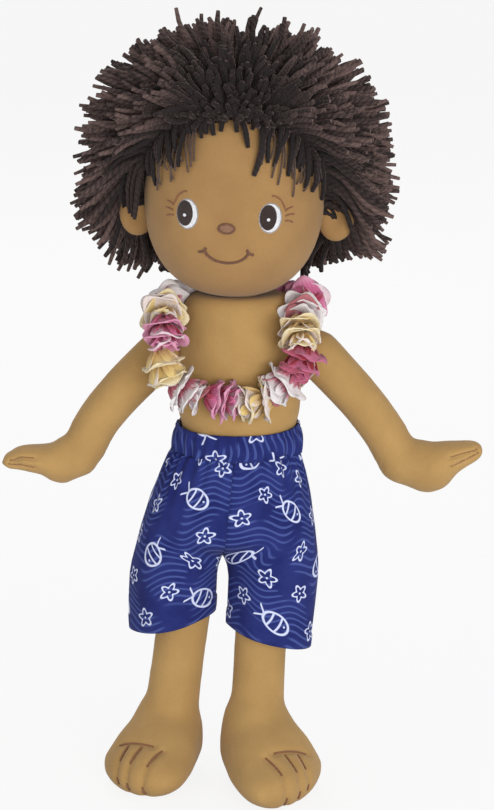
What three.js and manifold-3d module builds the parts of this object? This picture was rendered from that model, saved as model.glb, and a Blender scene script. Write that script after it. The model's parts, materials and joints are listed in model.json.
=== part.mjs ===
// A rag doll in beach dress: a stuffed cloth body with a yarn wig, elastic-waisted shorts and a
// garland of cloth blossoms. It stands on its soles, faces -Y and has +Z up, in millimetres.
import * as THREE from 'three';
import { mergeVertices } from 'three/addons/utils/BufferGeometryUtils.js';
import Module from 'manifold-3d';

const wasm = await Module();
wasm.setup();

// Cloth and sewing
const clothThickness = 1.2;
const seamGap = 0.3; // between pieces that are sewn together or lie against each other

// Legs and feet
const legLength = 130; // floor to the hip joint
const thighRadius = 14;
const ankleRadius = 12.9;
const hipHalfSpacing = 18;
const hipShift = -4; // the hips are carried over to the doll's right
const rightLegSplay = 7.5; // degrees out to the doll's right
const leftLegSplay = 3; // degrees in towards the doll's right
const stride = 14; // how far the left foot stands in front of the right
const strideBack = 4; // how far of that the right foot stands behind the hips
const footLength = 62;
const heelBack = 16; // ankle centre to the back of the heel
const footHalfWidth = 21;
const heelHalfWidth = 14.5;
const instepHalfHeight = 20;
const toeHalfHeight = 13;
const footTurnOut = 20; // degrees
const soleThickness = 1.5;
const solePress = 4; // how far the stuffed foot is pressed flat on the floor

// Torso and neck
const torsoLength = 104;
const torsoHalfWidth = 29;
const torsoHalfDepth = 23;
const torsoLift = 12; // hip joint up to the underside of the torso
const neckRadius = 9;
const neckRise = 8; // top of the torso up to the centre of the neck's round end
const neckSink = 12; // length of the neck plug inside the torso

// Head and face
const headHalfWidth = 44.5;
const headHalfDepth = 44;
const chinDrop = 53; // head centre down to the chin
const crownRise = 56; // head centre up to the crown
const chinGap = 3.5; // torso up to the chin
const chinFullness = 2.4; // exponent of the rounded jaw, where 2 is an ellipse
const headTurn = -4; // degrees about the vertical
const headTilt = 2.5; // degrees, its left side down
const headShift = -2; // sideways lean of the head
const earHalfHeight = 11.5;
const earHalfThickness = 4;
const earHalfWidth = 9;
const earReach = 12.5; // how far an ear stands out of the head
const earSetBack = 3; // ear's middle behind the head's
const earDrop = 15; // head centre down to the ear's centre
const headSeam = 4; // side seam behind the head's middle
const stitchHeight = 0.6;
const eyeSpacing = 41.5;
const eyeDrop = 7;
const eyeHalfWidth = 5.8;
const eyeHalfHeight = 7.2;
const irisHalfWidth = 4.4;
const irisHalfHeight = 6.6;
const irisAside = 1.3; // both eyes look a little to the doll's right
const noseHalfWidth = 3.9;
const noseHalfHeight = 2.4;
const noseDrop = 14;
const mouthHalfWidth = 13;
const mouthSag = 6.5;
const mouthLine = 1.6;
const mouthDrop = 26; // head centre down to the mouth's corners

// Yarn wig
const capThickness = 1.2;
const backingThickness = 2.5;
const hairHalfWidth = 80;
const hairHalfDepth = 74;
const hairRise = 86; // head centre up to the top of the hair
const hairFall = 42; // head centre down to the lowest hair
const hairMiddleRise = 5; // head centre up to where the hair is widest
const hairSetBack = 8; // the hair's middle lies behind the head's
const hairlineTilt = 35; // degrees that the hairline plane leans back
const hairlineForward = 5; // hairline plane to the head centre
const napeDrop = 36; // head centre down to the wig's lower edge
const lockCount = 190; // locks over a whole ball, of which the wig takes its share
const lockBaseRadius = 4.6;
const lockTipRadius = 3.8;
const lockDroop = 0.28; // how much gravity turns a lock down
const lockRagged = 0.12; // how much shorter the shortest locks are
const fringeLocks = 9;
const fringeSpread = 36; // degrees each way across the forehead
const fringeLength = 24;

// Arms and hands
const shoulderDrop = 24; // top of the torso down to the shoulder joint
const shoulderOut = 8; // side of the torso out to the shoulder joint
const shoulderRadius = 12.6;
const armRadius = 12;
const wristRadius = 10.5;
const armpitAngle = 31; // degrees from upright of a lowered arm, which dents the torso
const armLength = 69; // shoulder joint to wrist
const armDroop = 49; // degrees below level
const armBow = 3; // how far the arm's middle bulges up and out
const handLength = 41;
const handLift = 7; // degrees above level
const handForward = 8; // fingertips in front of the shoulder
const palmHalfThickness = 8.2;
const palmHalfWidth = 13.5;

// Thread joints
const knotRadius = 3;
const shankRadius = 1;
const shankGrip = 7; // length of a thread shank inside the torso
const swingRoom = 65; // degrees that a limb's slot leaves each way for its shank
const sitRoom = 110; // degrees that the leg's slot leaves for sitting

// Shorts
const waistHeight = 41; // hip joint up to the waist seam
const waistbandHeight = 12;
const elasticThickness = 1.2;
const elasticHeight = 8;
const seatHalfWidth = 44.5;
const seatHalfDepth = 25;
const seatShift = -4.5; // the shorts hang over to the doll's right
const seatFold = 0.02; // depth of the folds as a share of the half width
const crotchDrop = 13; // hip joint down to the crotch
const hemHalfWidth = 22;
const hemHalfDepth = 23.5;
const hemDrop = 46; // hip joint down to the hem
const leftHemExtra = 6; // how much lower the left hem hangs
const hemFold = 0.035;
const foldCount = 6;
const legEase = 4; // how far outside its hip each shorts leg hangs
const hemSlant = 9; // degrees that each hem drops towards the outside

// Garland
const stringRadius = 0.8;
const blossomCount = 16;
const blossomRadius = 10.6;
const blossomThickness = 16;
const petalDepth = 0.16; // how deep the notches between petals are
const blossomTints = [3, 0, 0, 1, 2, 3, 1, 2, 0, 1, 2, 0, 2, 1, 0, 3]; // each blossom's petal colour
const garlandDrop = 43; // top of the torso down to the lowest blossom
const garlandHalfWidth = 35;
const garlandStandOff = 9.4; // chest out to the string
const napeStandOff = 8; // nape out to the string

// Heights and places that follow from the sizes above
const torsoBottom = legLength + torsoLift;
const torsoTop = torsoBottom + torsoLength;
const headCentre = torsoTop + chinGap + chinDrop;
const shoulderHeight = torsoTop - shoulderDrop;
const shoulderX = torsoHalfWidth + shoulderOut;
const waistZ = legLength + waistHeight;
const rad = THREE.MathUtils.degToRad;

const cloth = (color) => new THREE.MeshStandardMaterial({ color, roughness: 0.9, metalness: 0 });
const skin = cloth(0xb58f5c);
const fill = cloth(0xece8de);
const thread = cloth(0x8a5a38);
const yarn = cloth(0x2e2321);
const eyeWhite = cloth(0xe9e6e4);
const eyeDark = cloth(0x33231f);
const print = cloth(0x34449a);
const elastic = cloth(0xf2f2f0);
const petals = [0xc9728f, 0xe7d8d6, 0xdcc27a, 0xb03a55].map(cloth);

// A closed geometry as a solid that can be joined and cut
function solid(geometry) {
  const bare = new THREE.BufferGeometry();
  bare.setAttribute('position', geometry.getAttribute('position').clone());
  bare.setIndex(geometry.index);
  const merged = mergeVertices(bare, 1e-4);
  const vertProperties = new Float32Array(merged.attributes.position.array);
  const triVerts = new Uint32Array(merged.index.array);
  return new wasm.Manifold(new wasm.Mesh({ numProp: 3, vertProperties, triVerts }));
}

function mesh(name, body, material) {
  const { numProp, numVert, vertProperties, triVerts } = body.getMesh();
  const positions = new Float32Array(numVert * 3);
  for (let i = 0; i < numVert; i++) {
    positions.set(vertProperties.subarray(i * numProp, i * numProp + 3), i * 3);
  }
  const geometry = new THREE.BufferGeometry();
  geometry.setAttribute('position', new THREE.BufferAttribute(positions, 3));
  geometry.setIndex(new THREE.BufferAttribute(triVerts, 1));
  geometry.computeVertexNormals();
  const made = new THREE.Mesh(geometry, material);
  made.name = name;
  return made;
}

const ball = (centre, radius, sides = 8) =>
  solid(new THREE.SphereGeometry(radius, sides, sides / 2).translate(centre.x, centre.y, centre.z));

// A ball-shaped hollow whose flats clear a given radius
const hollowBall = (centre, radius) => ball(centre, radius / Math.cos(Math.PI / 10), 10);

// A round rod between two points, tapering from one radius to the other
function rod(from, to, startRadius, endRadius = startRadius, sides = 6) {
  const along = to.clone().sub(from);
  const geometry = new THREE.CylinderGeometry(endRadius, startRadius, along.length(), sides, 1);
  geometry.translate(0, along.length() / 2, 0);
  const turn = new THREE.Quaternion().setFromUnitVectors(new THREE.Vector3(0, 1, 0), along.normalize());
  return solid(geometry.applyQuaternion(turn).translate(from.x, from.y, from.z));
}

// A profile of radius and height turned about the vertical, then flattened front to back
function turned(profile, sides, depthShare = 1) {
  const geometry = new THREE.LatheGeometry(profile, sides).rotateX(Math.PI / 2);
  return solid(geometry.scale(1, depthShare, 1));
}

// A stuffed tube along a path, round-ended, whose girth is [half width, half depth] at each length.
// The half width lies in the path's own upright plane turned about `deepAxis`.
function stuffedTube(path, girth, deepAxis, inset = 0, rings = 11, sides = 12) {
  const length = path.getLength();
  const positions = [];
  const index = [];
  const put = (point) => positions.push(point.x, point.y, point.z);
  const end = (share, way) =>
    put(path.getPointAt(share).addScaledVector(path.getTangentAt(share), way * inset));
  end(0, 1);
  for (let i = 1; i < rings; i++) {
    const share = 0.5 - 0.5 * Math.cos((Math.PI * i) / rings);
    const centre = path.getPointAt(share);
    const deep = deepAxis.clone();
    const wide = deep.clone().cross(path.getTangentAt(share)).normalize();
    const [halfWide, halfDeep] = girth(share * length, length).map((size) => Math.max(size - inset, 0.4));
    for (let k = 0; k < sides; k++) {
      const turn = (2 * Math.PI * (k + 0.5)) / sides;
      const rim = centre.clone().addScaledVector(wide, Math.cos(turn) * halfWide);
      put(rim.addScaledVector(deep, Math.sin(turn) * halfDeep));
    }
  }
  end(1, -1);
  const last = positions.length / 3 - 1;
  for (let k = 0; k < sides; k++) {
    const next = (k + 1) % sides;
    index.push(0, 1 + next, 1 + k);
    for (let i = 0; i < rings - 2; i++) {
      const here = 1 + i * sides;
      const there = here + sides;
      index.push(here + k, here + next, there + k, here + next, there + next, there + k);
    }
    index.push(last, last - sides + k, last - sides + next);
  }
  const geometry = new THREE.BufferGeometry();
  geometry.setAttribute('position', new THREE.Float32BufferAttribute(positions, 3));
  geometry.setIndex(index);
  return solid(geometry);
}

// A skin of cloth round a form, as a front and a back panel with a seam gap between them.
// The seam's plane has its normal towards the back.
function panels(form, seam = new THREE.Plane(new THREE.Vector3(0, 1, 0))) {
  const shell = form(0).subtract(form(clothThickness));
  const forward = seam.normal.clone().negate();
  return {
    front: shell.trimByPlane(forward.toArray(), seamGap / 2 + seam.constant),
    back: shell.trimByPlane(seam.normal.toArray(), seamGap / 2 - seam.constant),
    stuffing: form(clothThickness + seamGap),
  };
}

// A flat fan about a point, cut out so that a thread shank can move through an angle
function fan(centre, from, to, reach, thickness, upright) {
  const shape = new THREE.Shape();
  shape.moveTo(0, 0);
  shape.lineTo(reach * Math.cos(from), reach * Math.sin(from));
  shape.absarc(0, 0, reach, from, to, false);
  const extrude = { depth: thickness, bevelEnabled: false, curveSegments: 5 };
  const geometry = new THREE.ExtrudeGeometry(shape, extrude);
  geometry.translate(0, 0, -thickness / 2);
  geometry.applyMatrix4(upright);
  return solid(geometry.translate(centre.x, centre.y, centre.z));
}

// Legs: a tapering tube that runs into a foot, on a flat sole
function legForm(leg, inset) {
  const girth = (s, length) => {
    const taper = THREE.MathUtils.lerp(thighRadius, ankleRadius, s / length);
    const round = s < thighRadius ? Math.sqrt(thighRadius ** 2 - (thighRadius - s) ** 2) : taper;
    return [Math.min(round, taper), Math.min(round, taper)];
  };
  const axis = leg.ankle.clone().sub(leg.hip).normalize();
  const path = new THREE.LineCurve3(leg.hip.clone().addScaledVector(axis, -thighRadius), leg.ankle);
  const shin = stuffedTube(path, girth, new THREE.Vector3(0, 1, 0), inset, 7, 10);
  return shin.add(footForm(leg, inset));
}

function footForm(leg, inset) {
  const at = (forward, height) => leg.ankle.clone().setZ(height).addScaledVector(leg.toeward, forward);
  const path = new THREE.CatmullRomCurve3([
    at(-heelBack, instepHalfHeight - solePress),
    at(0, instepHalfHeight - solePress),
    at((footLength - heelBack) * 0.6, toeHalfHeight + 1 - solePress),
    at(footLength - heelBack, toeHalfHeight - solePress),
  ]);
  const girth = (s, length) => {
    const share = s / length;
    const round = Math.sqrt(Math.max(1 - Math.abs(2 * share - 1) ** 3.2, 0));
    const broaden = THREE.MathUtils.smoothstep(share, 0.1, 0.7);
    const lower = THREE.MathUtils.smoothstep(share, 0.3, 0.8);
    const wide = THREE.MathUtils.lerp(heelHalfWidth, footHalfWidth, broaden);
    const high = THREE.MathUtils.lerp(instepHalfHeight, toeHalfHeight, lower);
    return [high * round, wide * round];
  };
  const sideways = new THREE.Vector3(0, 0, 1).cross(leg.toeward);
  return stuffedTube(path, girth, sideways, inset, 8, 10);
}

function legSide(side, name, lean, step) {
  const hip = new THREE.Vector3(side * hipHalfSpacing + hipShift, 0, legLength);
  const drop = legLength - instepHalfHeight;
  const ankle = hip.clone().add(new THREE.Vector3(-Math.tan(rad(lean)) * drop, step, -drop));
  const toeward = new THREE.Vector3(side * Math.sin(rad(footTurnOut)), -Math.cos(rad(footTurnOut)), 0);
  return { side, name, hip, ankle, toeward, lean };
}
const legs = [
  legSide(-1, 'right', rightLegSplay, strideBack),
  legSide(1, 'left', leftLegSplay, strideBack - stride),
];

// The room in a leg for its knot, and for the shank as the leg swings forward to sit and back
function hipRoom(leg) {
  const upright = new THREE.Matrix4().makeBasis(
    new THREE.Vector3(0, 1, 0), new THREE.Vector3(0, 0, 1), new THREE.Vector3(1, 0, 0));
  const width = 2 * (shankRadius + seamGap);
  const slot = fan(leg.hip, rad(90 - swingRoom), rad(90 + sitRoom), thighRadius + 1, width, upright);
  return hollowBall(leg.hip, knotRadius + seamGap).add(slot);
}

function buildLeg(leg) {
  const group = new THREE.Group();
  const sole = soleThickness + seamGap;
  const aside = leg.hip.clone().setX(leg.hip.x - 1);
  const seam = new THREE.Plane().setFromCoplanarPoints(leg.hip, leg.ankle, aside);
  const pieces = panels((inset) => legForm(leg, inset), seam);
  const room = hipRoom(leg);
  const above = (body) => body.trimByPlane([0, 0, 1], sole).subtract(room);
  const flat = legForm(leg, 0).trimByPlane([0, 0, 1], 0).trimByPlane([0, 0, -1], -soleThickness);
  group.add(
    mesh(`${leg.name}_leg_front_panel`, above(pieces.front), skin),
    mesh(`${leg.name}_leg_back_panel`, above(pieces.back), skin),
    mesh(`${leg.name}_leg_stuffing`, above(pieces.stuffing), fill),
    mesh(`${leg.name}_sole`, flat, skin),
  );
  return group;
}

// Each leg hangs on a knotted thread whose shank is anchored in the torso
const hipAnchor = (leg) => leg.hip.clone().setZ(leg.hip.z + thighRadius + shankGrip);
const hipThread = (leg) => ball(leg.hip, knotRadius).add(rod(leg.hip, hipAnchor(leg), shankRadius));

// Arms: one sewn tube each, turned out at the wrist into a flat mitten hand
function armSide(side, name) {
  const shoulder = new THREE.Vector3(side * shoulderX, 0, shoulderHeight);
  const down = new THREE.Vector3(side * Math.cos(rad(armDroop)), 0, -Math.sin(rad(armDroop)));
  const wrist = shoulder.clone().addScaledVector(down, armLength);
  const lift = rad(handLift);
  const out = new THREE.Vector3(side * Math.cos(lift), -handForward / handLength, Math.sin(lift));
  return { side, name, shoulder, down, wrist, out };
}
const arms = [armSide(-1, 'right'), armSide(1, 'left')];

function armForm(arm, inset) {
  const { side, shoulder, down, wrist, out } = arm;
  const across = new THREE.Vector3(side * -down.z, 0, side * down.x);
  const middle = shoulder.clone().lerp(wrist, 0.5).addScaledVector(across, armBow);
  const path = new THREE.CatmullRomCurve3([
    shoulder.clone().addScaledVector(down, -shoulderRadius),
    shoulder,
    middle,
    wrist.clone().addScaledVector(down, -wristRadius * 0.6),
    wrist.clone().addScaledVector(out, wristRadius * 0.7),
    wrist.clone().addScaledVector(out, handLength * 0.65),
    wrist.clone().addScaledVector(out, handLength),
  ], false, 'centripetal');
  const girth = (s, length) => {
    const hand = THREE.MathUtils.smoothstep(s, armLength * 0.95, armLength + handLength * 0.7);
    const limb = THREE.MathUtils.lerp(armRadius, wristRadius, THREE.MathUtils.smoothstep(s, 30, armLength));
    const tip = Math.sqrt(Math.max(1 - (1 - Math.min((length - s) / (handLength * 0.55), 1)) ** 2.6, 0));
    const left = shoulderRadius - s;
    const root = left > 0 ? Math.sqrt(shoulderRadius ** 2 - left ** 2) : shoulderRadius;
    const thick = THREE.MathUtils.lerp(limb, palmHalfThickness * 0.75, hand) * tip;
    const wide = THREE.MathUtils.lerp(limb, palmHalfWidth, hand) * tip;
    const shoulderShare = 1 - THREE.MathUtils.smoothstep(s, shoulderRadius, shoulderRadius * 2.5);
    const swell = (size) => Math.min(root, THREE.MathUtils.lerp(size, shoulderRadius, shoulderShare));
    return [swell(thick), swell(wide)];
  };
  return stuffedTube(path, girth, new THREE.Vector3(0, 1, 0), inset, 11, 10);
}

// The thread shank runs from the knot in the shoulder straight into the torso
const shoulderAnchor = (arm) =>
  arm.shoulder.clone().setX(arm.shoulder.x - arm.side * (shoulderRadius + shankGrip));
const shoulderThread = (arm) =>
  ball(arm.shoulder, knotRadius).add(rod(arm.shoulder, shoulderAnchor(arm), shankRadius));

function shoulderRoom(arm) {
  const upright = new THREE.Matrix4().makeBasis(
    new THREE.Vector3(-arm.side, 0, 0), new THREE.Vector3(0, 0, 1), new THREE.Vector3(0, arm.side, 0));
  const width = 2 * (shankRadius + seamGap);
  const slot = fan(arm.shoulder, rad(-swingRoom), rad(swingRoom), shoulderRadius + 1, width, upright);
  return hollowBall(arm.shoulder, knotRadius + seamGap).add(slot);
}

function buildArm(arm) {
  const group = new THREE.Group();
  const pieces = panels((inset) => armForm(arm, inset));
  const room = shoulderRoom(arm);
  group.add(
    mesh(`${arm.name}_arm_front_panel`, pieces.front.subtract(room), skin),
    mesh(`${arm.name}_arm_back_panel`, pieces.back.subtract(room), skin),
    mesh(`${arm.name}_arm_stuffing`, pieces.stuffing.subtract(room), fill),
    mesh(`${arm.name}_shoulder_thread`, shoulderThread(arm), thread),
  );
  return group;
}

// Torso: a barrel with hollows where the limbs' round ends and the neck plug seat
const neckPoint = new THREE.Vector3(0, 0, torsoTop + neckRise);

function torsoForm(inset) {
  const half = torsoHalfWidth - inset;
  const low = torsoBottom + inset;
  const high = torsoTop - inset;
  const outline = new THREE.SplineCurve([
    new THREE.Vector2(half * 0.6, low + 0.8),
    new THREE.Vector2(half * 0.93, low + 8),
    new THREE.Vector2(half, waistZ),
    new THREE.Vector2(half * 1.02, shoulderHeight),
    new THREE.Vector2(half * 0.83, high - 6.5),
    new THREE.Vector2(half * 0.54, high - 0.5),
  ]);
  const profile = [new THREE.Vector2(0, low), ...outline.getSpacedPoints(7), new THREE.Vector2(0, high)];
  return turned(profile, 14, (torsoHalfDepth - inset) / half);
}

function torsoSockets(grow) {
  const neckEnd = neckPoint.clone().setZ(torsoTop - neckSink);
  let sockets = hollowBall(neckPoint, neckRadius + grow);
  sockets = sockets.add(rod(neckPoint, neckEnd, neckRadius + grow, neckRadius + grow, 12));
  for (const leg of legs) {
    sockets = sockets.add(hollowBall(leg.hip, thighRadius + grow));
  }
  for (const arm of arms) {
    const reach = new THREE.Vector3(arm.side * Math.sin(rad(armpitAngle)), 0, -Math.cos(rad(armpitAngle)));
    const low = arm.shoulder.clone().addScaledVector(reach, 2.5 * shoulderRadius);
    sockets = sockets.add(hollowBall(arm.shoulder, shoulderRadius + grow));
    sockets = sockets.add(rod(arm.shoulder, low, shoulderRadius + grow, armRadius + grow, 10));
  }
  return sockets;
}

function shankHoles() {
  const radius = shankRadius + seamGap;
  const holes = [
    ...legs.map((leg) => rod(leg.hip, hipAnchor(leg), radius)),
    ...arms.map((arm) => rod(arm.shoulder, shoulderAnchor(arm), radius)),
  ];
  return holes.reduce((all, hole) => all.add(hole));
}

function buildTorso() {
  const group = new THREE.Group();
  const socketGap = 3 * seamGap;
  const holes = shankHoles();
  const form = (inset) => torsoForm(inset).subtract(torsoSockets(socketGap + inset));
  const pieces = panels(form);
  const neckEnd = neckPoint.clone().setZ(torsoTop - neckSink + seamGap);
  const neck = ball(neckPoint, neckRadius, 12).add(rod(neckEnd, neckPoint, neckRadius, neckRadius, 12));
  group.add(
    mesh('torso_front_panel', pieces.front.subtract(holes), skin),
    mesh('torso_back_panel', pieces.back.subtract(holes), skin),
    mesh('torso_stuffing', pieces.stuffing.subtract(holes), fill),
    mesh('neck_plug', neck, skin),
  );
  for (const leg of legs) {
    group.add(mesh(`${leg.name}_hip_thread`, hipThread(leg), thread));
  }
  return group;
}

// Head: an egg of cloth in its own frame, whose middle is the origin
const head = new THREE.Group();
head.position.set(headShift, 0, headCentre);
head.rotation.set(0, rad(headTilt), rad(headTurn));
head.updateMatrix();
const neckInHead = neckPoint.clone().applyMatrix4(head.matrix.clone().invert());

function headForm(inset) {
  const half = headHalfWidth - inset;
  const steps = 10;
  const profile = [];
  for (let i = 0; i <= steps; i++) {
    const angle = Math.PI * (i / steps - 0.5);
    const power = angle < 0 ? 2 / chinFullness : 1;
    const reach = (angle < 0 ? -chinDrop : crownRise) + (angle < 0 ? inset : -inset);
    const across = i % steps === 0 ? 0 : half * Math.cos(angle) ** power;
    profile.push(new THREE.Vector2(across, reach * Math.abs(Math.sin(angle)) ** power));
  }
  return turned(profile, 16, (headHalfDepth - inset) / half);
}

// Room in the head for the neck's round end, opening downwards so that the head can nod
function neckRoom() {
  const room = neckRadius + 2 * seamGap;
  const mouth = neckInHead.clone().setZ(neckInHead.z - neckRise - chinGap);
  return ball(neckInHead, room, 12).add(rod(neckInHead, mouth, room, room + 4, 12));
}

function earForm(side, grow) {
  const geometry = new THREE.SphereGeometry(1, 10, 6);
  geometry.scale(earHalfWidth + grow, earHalfThickness + grow, earHalfHeight + grow);
  return solid(geometry.translate(side * (headHalfWidth + earReach - earHalfWidth), earSetBack, -earDrop));
}

// A flat outline carried straight back into the face
function facePrism(shape) {
  const extrude = { depth: headHalfDepth * 1.3, bevelEnabled: false, curveSegments: 6 };
  const geometry = new THREE.ExtrudeGeometry(shape, extrude);
  const facing = new THREE.Matrix4().makeBasis(
    new THREE.Vector3(1, 0, 0), new THREE.Vector3(0, 0, 1), new THREE.Vector3(0, -1, 0));
  return solid(geometry.applyMatrix4(facing));
}

function oval(x, z, halfWidth, halfHeight) {
  const shape = new THREE.Shape();
  shape.absellipse(x, z, halfWidth, halfHeight, 0, Math.PI * 2);
  return facePrism(shape);
}

function smile() {
  const shape = new THREE.Shape();
  shape.moveTo(-mouthHalfWidth, -mouthDrop);
  shape.quadraticCurveTo(0, -mouthDrop - 2 * mouthSag, mouthHalfWidth, -mouthDrop);
  shape.lineTo(mouthHalfWidth, -mouthDrop + mouthLine);
  shape.quadraticCurveTo(0, -mouthDrop + mouthLine - 2 * mouthSag, -mouthHalfWidth, -mouthDrop + mouthLine);
  return facePrism(shape);
}

function buildHead() {
  const room = neckRoom();
  const pieces = panels(headForm, new THREE.Plane(new THREE.Vector3(0, 1, 0), -headSeam));
  head.add(
    mesh('face_panel', pieces.front.subtract(room), skin),
    mesh('head_back_panel', pieces.back.subtract(room), skin),
    mesh('head_stuffing', pieces.stuffing.subtract(room), fill),
  );
  const scalp = headForm(-seamGap);
  const stitches = headForm(-seamGap - stitchHeight).subtract(scalp);
  for (const [side, name] of [[-1, 'right'], [1, 'left']]) {
    const x = (side * eyeSpacing) / 2;
    const iris = oval(x - irisAside, -eyeDrop, irisHalfWidth, irisHalfHeight);
    const irisRoom = oval(x - irisAside, -eyeDrop, irisHalfWidth + seamGap, irisHalfHeight + seamGap);
    const white = oval(x, -eyeDrop, eyeHalfWidth, eyeHalfHeight).subtract(irisRoom);
    head.add(
      mesh(`${name}_ear`, earForm(side, 0).subtract(scalp), skin),
      mesh(`${name}_eye_white`, stitches.intersect(white), eyeWhite),
      mesh(`${name}_iris`, stitches.intersect(iris), eyeDark),
    );
  }
  head.add(
    mesh('nose_stitch', stitches.intersect(oval(0, -noseDrop, noseHalfWidth, noseHalfHeight)), thread),
    mesh('mouth_stitch', stitches.intersect(smile()), thread),
  );
}

// Wig: locks of yarn on a backing, sewn to a cap behind a slanting hairline
const hairlineNormal = new THREE.Vector3(0, Math.cos(rad(hairlineTilt)), Math.sin(rad(hairlineTilt)));
const capSurface = seamGap + capThickness; // head out to the cap's outer face
const backingFoot = capSurface + seamGap;

function onWig(body) {
  return body
    .trimByPlane(hairlineNormal.toArray(), -hairlineForward)
    .trimByPlane([0, 0, 1], -napeDrop);
}

// Distance from a point to an egg's surface along a direction
function reachOf(from, way, halfWidth, halfDepth, rise, fall) {
  let near = 0;
  let far = 3 * halfWidth;
  for (let i = 0; i < 40; i++) {
    const middle = (near + far) / 2;
    const point = from.clone().addScaledVector(way, middle);
    const upright = point.z / (point.z > 0 ? rise : fall);
    const inside = (point.x / halfWidth) ** 2 + (point.y / halfDepth) ** 2 + upright ** 2 < 1;
    if (inside) near = middle;
    else far = middle;
  }
  return near;
}

const scalpPoint = (way, lift) =>
  way.clone().multiplyScalar(
    reachOf(
      new THREE.Vector3(), way,
      headHalfWidth + lift, headHalfDepth + lift, crownRise + lift, chinDrop + lift,
    ));

// A repeatable number from 0 to 1 that differs from lock to lock
const vary = (i) => (Math.abs(Math.sin(i * 12.9898)) * 43758.5453) % 1;

function standingLock(way, i) {
  const base = scalpPoint(way, backingFoot);
  const rise = way.clone();
  rise.z -= lockDroop;
  rise.normalize();
  const middle = base.clone().sub(new THREE.Vector3(0, hairSetBack, hairMiddleRise));
  const up = hairRise - hairMiddleRise;
  const down = hairFall + hairMiddleRise;
  const length = reachOf(middle, rise, hairHalfWidth, hairHalfDepth, up, down) * (1 - lockRagged * vary(i));
  return rod(base, base.clone().addScaledVector(rise, length), lockBaseRadius, lockTipRadius, 3);
}

// Whether a lock growing at this point would run into an ear
function nearEar(point) {
  const room = lockBaseRadius + seamGap;
  const out = (Math.abs(point.x) - headHalfWidth) / (earHalfWidth + room);
  const back = (point.y - earSetBack) / (earHalfThickness + room);
  const up = (point.z + earDrop) / (earHalfHeight + room);
  return out ** 2 + back ** 2 + up ** 2 < 1;
}

// A lock that starts inside the hairline and lies down the forehead
function fringeLock(i) {
  const around = rad(THREE.MathUtils.lerp(-fringeSpread, fringeSpread, i / (fringeLocks - 1)));
  const at = (tilt) => new THREE.Vector3(
    Math.sin(around) * Math.cos(tilt), -Math.cos(around) * Math.cos(tilt), Math.sin(tilt));
  let tilt = Math.PI / 2;
  while (scalpPoint(at(tilt), 0).dot(hairlineNormal) > 4 - hairlineForward) {
    tilt -= 0.02;
  }
  const lift = backingFoot + lockTipRadius * 0.6;
  const base = scalpPoint(at(tilt), lift);
  const along = scalpPoint(at(tilt - 0.1), lift).sub(base).normalize();
  const length = fringeLength * (1 - 0.4 * vary(i));
  return rod(base, base.clone().addScaledVector(along, length), lockTipRadius, lockTipRadius * 0.9, 3);
}

function buildWig() {
  const ears = earForm(-1, 2 * seamGap).add(earForm(1, 2 * seamGap));
  const cap = onWig(headForm(-capSurface).subtract(headForm(-seamGap))).subtract(ears);
  head.add(mesh('hair_cap', cap, yarn));
  const foot = headForm(-backingFoot);
  const backing = onWig(headForm(-backingFoot - backingThickness).subtract(foot));
  const quarters = [
    ['hair_front', 0, -1], ['hair_back', 0, 1], ['hair_right_side', -1, 0], ['hair_left_side', 1, 0],
  ];
  const golden = Math.PI * (3 - Math.sqrt(5));
  for (const [name, x, y] of quarters) {
    const edges = [[x + y, y - x, 0], [x - y, y + x, 0]];
    let hair = backing;
    for (let i = 0; i < lockCount; i++) {
      const height = 1 - (2 * i + 1) / lockCount;
      const flat = Math.sqrt(1 - height * height);
      const way = new THREE.Vector3(flat * Math.cos(i * golden), flat * Math.sin(i * golden), height);
      const base = scalpPoint(way, 0);
      const inside = base.dot(hairlineNormal) > 1 - hairlineForward && base.z > 2 - napeDrop;
      const own = edges.every(([a, b]) => a * base.x + b * base.y > 0.5);
      if (inside && own && !nearEar(base)) {
        hair = hair.add(standingLock(way, i));
      }
    }
    if (name === 'hair_front') {
      for (let i = 0; i < fringeLocks; i++) {
        hair = hair.add(fringeLock(i));
      }
    }
    for (const edge of edges) {
      hair = hair.trimByPlane(edge, seamGap / 2);
    }
    head.add(mesh(name, hair.subtract(foot).subtract(ears), yarn));
  }
}

// Shorts: a waistband over elastic, and two panels sewn together down the middle
const waistHalfWidth = torsoHalfWidth + elasticThickness + clothThickness + 2 * seamGap;
const waistShare = (torsoHalfDepth + waistHalfWidth - torsoHalfWidth) / waistHalfWidth;
const seatLean = seatShift / (waistHeight + crotchDrop); // sideways per millimetre of drop

function ring(inner, outer, low, high) {
  const profile = [[inner, low], [outer, low], [outer, high], [inner, high], [inner, low]];
  return turned(profile.map(([across, height]) => new THREE.Vector2(across, height)), 18, waistShare);
}

// A tube of cloth about the vertical that leans and falls into folds towards its lower end
function clothTube(centreX, lean, top, bottom, ends, inset) {
  const steps = 3;
  const profile = [];
  for (let i = 0; i <= steps; i++) {
    const half = THREE.MathUtils.lerp(ends.low, ends.high, i / steps) - inset;
    profile.push(new THREE.Vector2(half, THREE.MathUtils.lerp(bottom, top, i / steps)));
  }
  profile.unshift(new THREE.Vector2(0, bottom));
  profile.push(new THREE.Vector2(0, top));
  const geometry = new THREE.LatheGeometry(profile, 18).rotateX(Math.PI / 2);
  const place = geometry.getAttribute('position');
  for (let i = 0; i < place.count; i++) {
    const point = new THREE.Vector3().fromBufferAttribute(place, i);
    const fallen = (top - point.z) / (top - bottom);
    const fold = 1 + ends.fold * fallen * Math.cos(foldCount * Math.atan2(point.y, point.x));
    const x = point.x * fold + centreX + lean * (top - point.z);
    const share = THREE.MathUtils.lerp(ends.highShare, ends.lowShare, fallen);
    place.setXYZ(i, x, point.y * fold * share, point.z);
  }
  return solid(geometry);
}

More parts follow.
